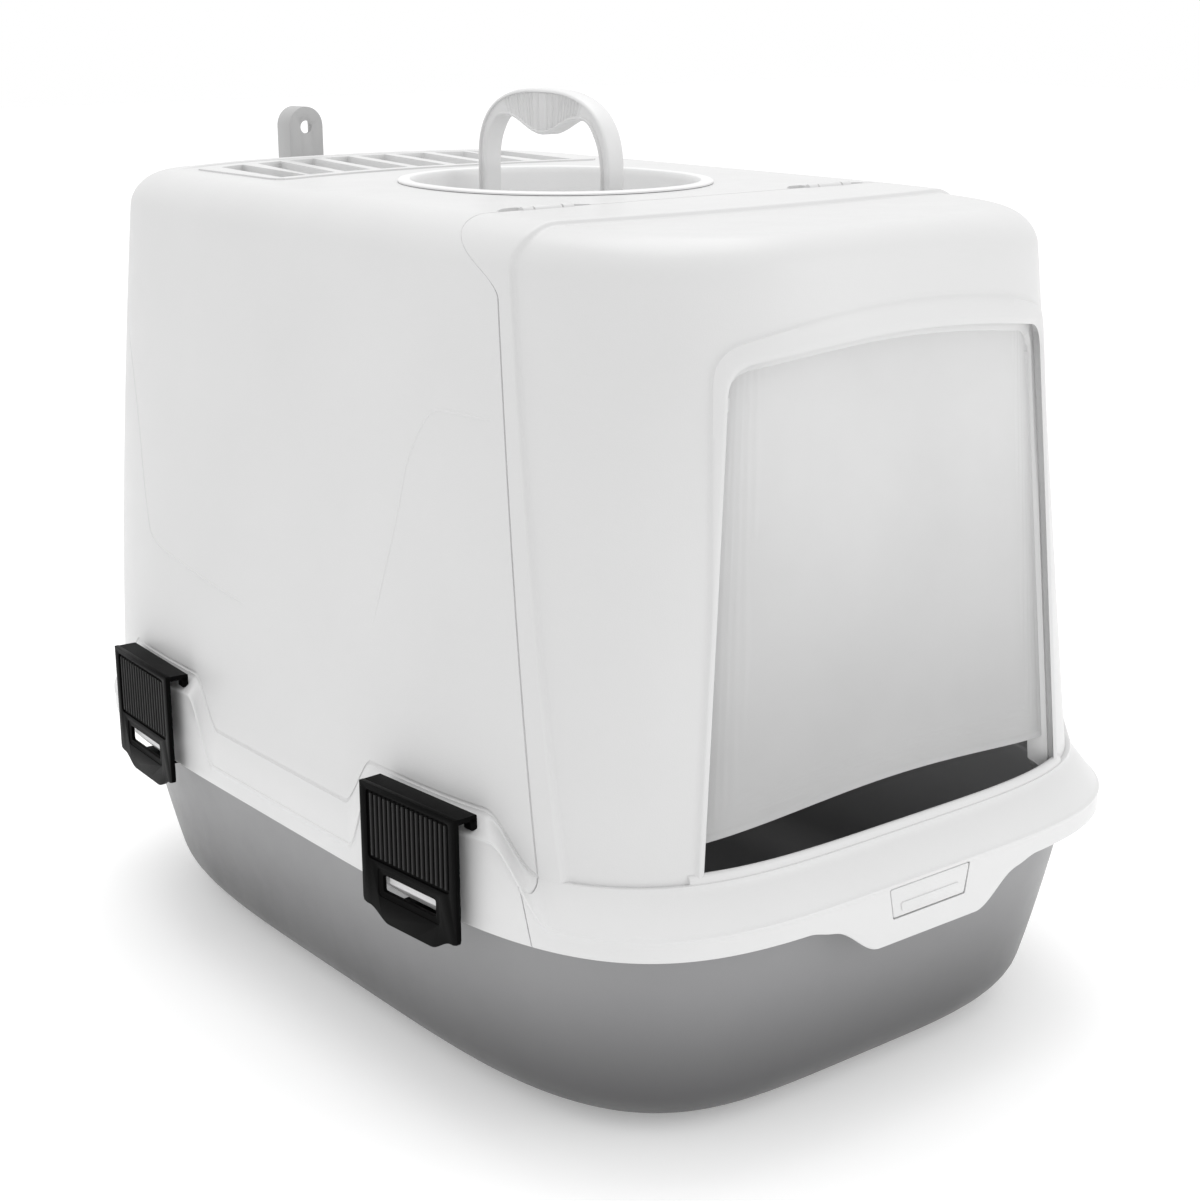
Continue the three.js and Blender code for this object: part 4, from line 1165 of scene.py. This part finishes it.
def build_filter():
    low, high = FILTER_LOW, FILTER_HIGH
    tray_loop = rectangle(low[0], low[1], high[0], high[1], 4)
    tray = prism("filter_tray", tray_loop, 2, low[2], high[2])
    combine(tray, block("filter_room", low + (3, 3, 3), high + (-3, -3, 5)))
    pitch = (high[0] - low[0] - 6) / 6
    for index in range(6):
        start = low[0] + 3 + index * pitch + 4
        far_corner = (start + pitch - 8, high[1] - 8, high[2])
        combine(tray, block("filter_window", (start, low[1] + 8, low[2] - 1), far_corner))
    round_edges(tray, 0.5, 2, 60)
    settle(tray, "white_plastic", "box", "filter_frame")
    columns, rows = 110, 60
    x = np.linspace(PAD_LOW[0], PAD_HIGH[0], columns)
    y = np.linspace(PAD_LOW[1], PAD_HIGH[1], rows)
    gx, gy = np.meshgrid(x, y)
    edge = np.minimum(np.minimum(gx - x[0], x[-1] - gx), np.minimum(gy - y[0], y[-1] - gy))
    soft = np.sqrt(np.clip(edge / 2.5, 0, 1))
    uneven = 0.22 * np.sin(gx * 0.31 + 1.3 * np.sin(gy * 0.17)) * np.cos(gy * 0.27)
    middle = (PAD_LOW[2] + PAD_HIGH[2]) / 2
    top = middle + (PAD_HIGH[2] - middle - 0.25 + uneven) * soft
    under = middle - (middle - PAD_LOW[2]) * soft
    pad = slab("filter_foam", np.stack([gx, gy, top], -1), np.stack([gx, gy, under], -1))
    settle(pad, "carbon_foam", "box", "filter_pad")


build_vents()
build_filter()


# ------------------------------------------------------------------ base pan

PAN_LOW_PLAN = (160.5, -241.0, 241.0, 4.2, 4.2)
PAN_HIGH_PLAN = (184.7, -266.6, 266.6, 4.3, 4.3)


def pan_plan(z, inset):
    share = (z / 110.6) ** 0.75
    return grown(tuple(low + (high - low) * share for low, high in zip(PAN_LOW_PLAN, PAN_HIGH_PLAN)), -inset)


def build_pan():
    angles = even_angles(PAN_HIGH_PLAN, 420)
    top = PAN_TOP_CORNER[2]

    def at(plan, z):
        return plan_row(plan, angles, z)

    def floor_rings(z, count):
        x, y = outline(pan_plan(0.5, 26), angles)
        return [np.stack([x * s, y * s, np.full(x.shape, z)], -1) for s in np.linspace(1, 0.05, count)[1:]]

    bend = 26.0
    turns = np.linspace(math.pi / 2, 0, 12)
    outer = floor_rings(1.2, 8)[::-1]
    outer += [at(pan_plan(0.5, 27.5), 1.2), at(pan_plan(0.5, 26.6), 0.2), at(pan_plan(0.5, 25.6), 0.0)]
    for t in turns[1:]:
        z = bend * (1 - math.cos(math.pi / 2 - t))
        outer.append(at(pan_plan(z, bend * (1 - math.cos(t))), z))
    lip = rim_plan(4.0)
    outer += [at(pan_plan(z, 0), z) for z in np.linspace(bend + 5, 108.5, 16)]
    outer += [at(pan_plan(111, -0.6), 111.0), at(grown(lip, -3.0), 112.2), at(grown(lip, -2.6), top - 7.4),
              at(grown(lip, -0.4), top - 7.4), at(lip, top - 6.9)]
    outer += [at(lip, top - 1.4), at(grown(lip, -0.4), top - 0.4), at(grown(lip, -1.4), top)]
    inner = [at(pan_plan(top, 1.2), top), at(pan_plan(top, 2.4), top - 0.5),
             at(pan_plan(top - 2, WALL), top - 2)]
    inner += [at(pan_plan(z, WALL), z) for z in np.linspace(108, bend, 14)]
    for t in turns[::-1][1:]:
        z = WALL + (bend - WALL) * (1 - math.cos(math.pi / 2 - t))
        inner.append(at(pan_plan(z, WALL + (bend - WALL) * (1 - math.cos(t))), z))
    inner += floor_rings(WALL, 8)
    pan = vessel("pan_shell", np.array(outer + inner), 40)
    settle(pan, "grey_plastic", "box", "base_pan")


build_pan()


# ------------------------------------------------------------------ side latches

LATCH_HALF, LATCH_IN, LATCH_OUT, LATCH_TOP = 36.0, 5.6, 8.2, 165.5


def rim_x(y):
    return RIM[0] * (1 - (abs(y) / RIM[2]) ** RIM[4]) ** (1 / RIM[4])


def on_rim(piece, centre_y, side):
    """Moves a piece modelled with +X outwards, +Y along the rim and Z up to its latch pad."""
    near, far = rim_x(centre_y - LATCH_HALF), rim_x(centre_y + LATCH_HALF)
    turn = math.atan2(near - far, 2 * LATCH_HALF)
    places = np.array([v.co[:] for v in piece.data.vertices]) / MM
    x = places[:, 0] * math.cos(turn) - places[:, 1] * math.sin(turn) + (near + far) / 2 + 0.9
    y = places[:, 0] * math.sin(turn) + places[:, 1] * math.cos(turn) + centre_y
    piece.data.vertices.foreach_set("co", (np.stack([side * x, y, places[:, 2]], -1) * MM).ravel())
    if side < 0:
        piece.data.flip_normals()
    soften(piece, 40)
    return piece


def latch_loop():
    half = LATCH_HALF
    y = np.linspace(-half + 3, half - 3, 40)
    z = 103.2 - 6.2 * smooth(half - 3 - np.abs(y), 2, 17)
    foot = [(-half, 106.0), (-half + 0.6, 104.0)] + list(zip(y, z)) + [(half - 0.6, 104.0), (half, 106.0)]
    return np.array([(-half, LATCH_TOP)] + foot + [(half, LATCH_TOP)])


def build_latch(end, hand):
    centre_y, side = LATCH_CENTRE_Y[end], -1 if hand == "left" else 1
    body = f"latch_{end}_{hand}"
    half = LATCH_HALF
    plate = prism("latch_plate", latch_loop(), 0, LATCH_IN, LATCH_OUT)
    slot = rectangle(-20, 113.2, 20, 121.6, 1.2, 3)
    combine(plate, prism("slot", slot, 0, 0, 12))
    inset = half - 5
    panel = rectangle(-inset, 127.5, inset, 162.5, 2.4)
    combine(plate, prism("panel", panel, 0, LATCH_OUT - 1.1, LATCH_OUT + 2))
    lower = rectangle(-23.5, 110.0, 23.5, 124.6, 2.4)
    combine(plate, prism("slot_border", lower, 0, LATCH_OUT - 0.5, LATCH_OUT + 2))
    round_edges(plate, 0.4, 2, 50)
    pieces, ribs = [plate], []
    count = 17
    for index in range(count):
        y = (index - (count - 1) / 2) * (2 * half - 16) / (count - 1)
        rib = rounded([(y - 0.85, LATCH_OUT - 1.4), (y + 0.85, LATCH_OUT - 1.4), (y + 0.65, LATCH_OUT - 0.15),
                       (y - 0.65, LATCH_OUT - 0.15)], [0.05, 0.05, 0.45, 0.45], 2)
        ribs.append(prism("latch_rib", rib[:, ::-1], 2, 129.2, 160.8))
    low, high, edge = LATCH_TOP - 2.9, LATCH_TOP - 0.25, LATCH_OUT - 1.2
    top = rectangle(-5.0, low, edge, high, [0.6, 0.1, 0.1, 1.0], 3)
    pieces.append(prism("latch_top", top, 1, -half + 0.1, half - 0.1))
    for sign in (-1, 1):
        low, high = LATCH_TOP - 7.6, LATCH_TOP - 2
        lug = rectangle(-5.0, low, -1.2, high, [1.2, 1.2, 0.1, 0.1], 3)
        lug = prism("latch_lug", lug, 1, *sorted((sign * half, sign * inset)))
        pieces.append(round_edges(lug, 0.3, 2, 60))
    pieces.append(turned_rod("latch_barrel", (-2.8, -half, 163), (-2.8, half, 163), 2.0, 0.4))
    pieces.append(round_edges(block("latch_nib", (-6.5, -13, 106), (6.5, 13, 109.8)), 0.4))
    for k, piece in enumerate(pieces):
        on_rim(piece, centre_y, side)
        piece.name = f"{piece.name.split('.')[0]}_{end}_{hand}_{k}"
        settle(piece, "black_plastic", body, *([body] if k == 0 else []))
    for k, rib in enumerate(ribs):
        on_rim(rib, centre_y, side)
        rib.name = f"latch_rib_{end}_{hand}_{k}"
        finish_piece(rib, RIBS, body, "black_plastic")
    keeper = round_edges(block("latch_keeper", (-2, -18.5, 116.6), (5.2, 18.5, 120.8)), 0.4)
    on_rim(keeper, centre_y, side)
    keeper.name = f"latch_keeper_{end}_{hand}"
    settle(keeper, "white_plastic", "box")


for latch_end in ("front", "rear"):
    for latch_hand in ("left", "right"):
        build_latch(latch_end, latch_hand)


# ------------------------------------------------------------------ scoop and its pocket

def scoop_outline(inset):
    """The scoop in front view: a blade with shoulders that run into a long handle with a domed top."""
    grip, blade, low, high, top = 12 - inset, 52 - inset, 196.0, 292.0, SCOOP_HIGH[2]
    right = [(blade - 10, low + inset), (blade - 2.5, low + inset + 2.8), (blade, low + 12),
             (blade, high - 32), (blade - 3, high - 14 - inset), (blade - 16, high - 2 - inset),
             (grip + 8, high + 3 - inset), (grip + 1.5, high + 8 - inset * 0.5), (grip, high + 18)]
    dome = [(grip * math.cos(t), top - 12 + grip * math.sin(t)) for t in np.linspace(0, math.pi, 25)]
    left = [(-x, z) for x, z in right[::-1]]
    return np.array(right + dome + left)


def build_scoop():
    y = SCOOP_LOW[1]
    tray = prism("scoop_shell", scoop_outline(0), 1, y, y + 15)
    combine(tray, prism("scoop_hollow", scoop_outline(2.0), 1, y + 2, y + 20))
    combine(tray, prism("scoop_hole", ellipse(4, 4, 32, (0, SCOOP_HOLE_Z)), 1, y - 5, y + 8))
    pitch = 90 / 7
    for index in range(7):
        x = (index - 3) * pitch
        slot = rectangle(x - 3, 212, x + 3, 264, 2.9)
        combine(tray, prism("scoop_slot", slot, 1, y - 5, y + 5))
    round_edges(tray, 0.5, 2, 60)
    settle(tray, "scoop_plastic", "scoop", "scoop")
    ring_points = np.array([[x, y + 0.25, z] for x, z in ellipse(5.2, 5.2, 40, (0, SCOOP_HOLE_Z))])
    rim = swept("scoop_hole_rim", ring_points, ellipse(0.7, 0.25, 10), (0, 1, 0), closed=True)
    settle(rim, "scoop_plastic", "scoop")


def build_pocket():
    half, low, high, rear = 58.0, 190.0, 226.0, 291.0
    back = float(HOOD_FOOT[2]) + 0.6
    tray = block("pocket_tray", (-half, back, low), (half, rear, high))
    combine(tray, block("pocket_room", (-half + 3, 268, low + 3), (half - 3, rear - 2.5, high + 5)))
    side = half - 14
    window = rectangle(-side, low + 12, side, high + 8, [5, 5, 0.1, 0.1], 5)
    combine(tray, prism("pocket_window", window, 1, 272, rear + 5))
    round_edges(tray, 0.9, 3, 60)
    settle(tray, "white_plastic", "box", "scoop_pocket")
    for x in (-PEG_X, PEG_X):
        settle(turned_rod("pocket_peg", (x, 258, PEG_Z), (x, 267.5, PEG_Z), 3.0, 0.4), "white_plastic", "box")


build_scoop()
build_pocket()


# ------------------------------------------------------------------ hinges, beads and styling lines

def hinge_details():
    """At each hinge the cover's barrel and pin, between the hood's two ears."""
    def axle(name, low, high, radius, edge, body):
        rod = turned_rod(name, (low, HINGE_Y, HINGE_AXLE_Z), (high, HINGE_Y, HINGE_AXLE_Z), radius, edge)
        settle(rod, "white_plastic", body)

    for side in (-1, 1):
        centre = side * HINGE_SPREAD
        axle("hinge_barrel", centre - 8, centre + 8, 2.2, 0.3, "cover")
        axle("hinge_pin", centre - 14, centre + 14, 1.2, 0.2, "cover")
        for end in (-1, 1):
            axle("hinge_ear", *sorted((centre + end * 8.8, centre + end * 15)), 2.3, 0.3, "box")


def skin_frames(points, offset=0.0):
    """Outward directions of the hood's skin at points near it."""
    step = 0.5
    x, y, z = points.T

    def value(px, py, pz):
        return plan_value(hood_plan(np.minimum(pz, ROOF_Z), offset), px, py)

    gradient = np.stack([value(x + step, y, z) - value(x - step, y, z),
                         value(x, y + step, z) - value(x, y - step, z),
                         value(x, y, z + step) - value(x, y, z - step)], -1)
    return gradient / np.linalg.norm(gradient, axis=1, keepdims=True)


def smooth_line(points, count):
    """A smooth curve through a few points."""
    points = np.asarray(points, float)
    spans = len(points) - 1
    padded = np.vstack([2 * points[0] - points[1], points, 2 * points[-1] - points[-2]])
    out = []
    for t in np.linspace(0, spans, count):
        k = min(int(t), spans - 1)
        f = t - k
        a, b, c, d = padded[k:k + 4]
        out.append(0.5 * (2 * b + (c - a) * f + (2 * a - 5 * b + 4 * c - d) * f**2
                          + (3 * b - a - 3 * c + d) * f**3))
    return np.array(out)


def styling_line(name, yz, proud, radius=1.1):
    """A fine raised line on both side walls, given by its depths and heights."""
    curve = smooth_line(yz, 150)
    for side in (-1, 1):
        x = side * skin_x(curve[:, 0], curve[:, 1], 0.0)
        centre = np.stack([x, curve[:, 0], curve[:, 1]], -1)
        normal = skin_frames(centre)
        taper = np.minimum(1, np.minimum(np.arange(150), np.arange(150)[::-1]) / 12)
        centre = centre - normal * (radius - proud * taper)[:, None]
        line = swept(f"{name}_{'left' if side < 0 else 'right'}", centre, ellipse(radius, radius, 14), normal)
        settle(line, "white_plastic", "box")


def roof_beads():
    """The raised line along the roof's rear edge, behind the vents."""
    x = np.linspace(-128, 128, 160)
    y = 212 + 36 * (1 - np.abs(x / 128) ** 2.4)
    centre = np.stack([x, y, ROOF_Z - 0.4 - 4 * np.abs(x / 128) ** 14], -1)
    settle(swept("roof_rear_bead", centre, ellipse(1.9, 1.5, 16), (0, 0, 1)), "white_plastic", "box")


def parting_lip():
    """A lip on the hood's front edge that makes the joint a shallow groove."""
    shares = np.linspace(0, 1, 300)

    def edge(shift, depth):
        guide = arch_over(parting_y, 0.0, LIP_FOOT_Z)
        inset = -depth if depth >= WALL else -depth * joint_gap(guide[:, 2])
        line = arch_over(lambda x, z: parting_y(x, z) + shift * joint_gap(z), inset, LIP_FOOT_Z)
        return respaced(line, shares)

    section = [edge(-0.22, 0.7), edge(-0.22, WALL), edge(2.4, WALL), edge(2.4, 0.7)]
    settle(strip("parting_lip", np.array(section)), "white_plastic", "box")


hinge_details()
styling_line("rear_line", [(224.5, 344.7), (195.6, 298), (170.5, 243.6), (156, 226), (118, 220), (81.5, 216),
                           (43.5, 213)], 0.3)
styling_line("front_line", [(-149.4, 338.6), (-126, 338.8), (-108, 337.5), (-99, 329), (-90.7, 310.7),
                            (-87, 285.4), (-81, 255), (-75.4, 227.5)], 0.3)
roof_beads()
parting_lip()


# ------------------------------------------------------------------ floor and light

def build_stage():
    nodes = Nodes("studio_floor")
    tone = nodes.noise(3, 3)
    tones = [(0.3, (0.84, 0.84, 0.84)), (0.7, (0.86, 0.86, 0.86))]
    nodes.link(nodes.ramp(tone, tones), nodes.shader.inputs["Base Color"])
    nodes.shader.inputs["Roughness"].default_value = 0.75
    nodes.shader.inputs["Emission Color"].default_value = (1.0, 1.0, 1.0, 1)
    nodes.shader.inputs["Emission Strength"].default_value = 0.25
    nodes.bump(nodes.noise(700, 2), 0.00002)
    size = 9000.0
    floor = block("studio_floor", (-size, -size, -20.0), (size, size, -0.05))
    floor.data.materials.append(nodes.material)
    world = bpy.data.worlds.new("studio")
    world.use_nodes = True
    background = world.node_tree.nodes["Background"]
    background.inputs["Color"].default_value = (1.0, 1.0, 1.0, 1)
    background.inputs["Strength"].default_value = 1.0
    bpy.context.scene.world = world
    bpy.context.scene.view_settings.view_transform = "Standard"


def area_light(name, place, aim, size, power):
    data = bpy.data.lights.new(name, "AREA")
    data.shape = "RECTANGLE"
    data.size, data.size_y = size
    data.energy = power
    lamp = bpy.data.objects.new(name, data)
    lamp.location = place
    lamp.rotation_euler = (Vector(aim) - Vector(place)).to_track_quat("-Z", "Y").to_euler()
    bpy.context.scene.collection.objects.link(lamp)


build_stage()
area_light("cabin_glow", (0, 0.02, 0.37), (0, 0.02, 0), (0.2, 0.3), 0.35)
area_light("overhead", (0.1, 0.3, 1.9), (0, 0, 0.3), (1.4, 1.4), 11)
area_light("front_fill", (0.9, -1.9, 0.9), (0, 0, 0.25), (1.2, 1.4), 6)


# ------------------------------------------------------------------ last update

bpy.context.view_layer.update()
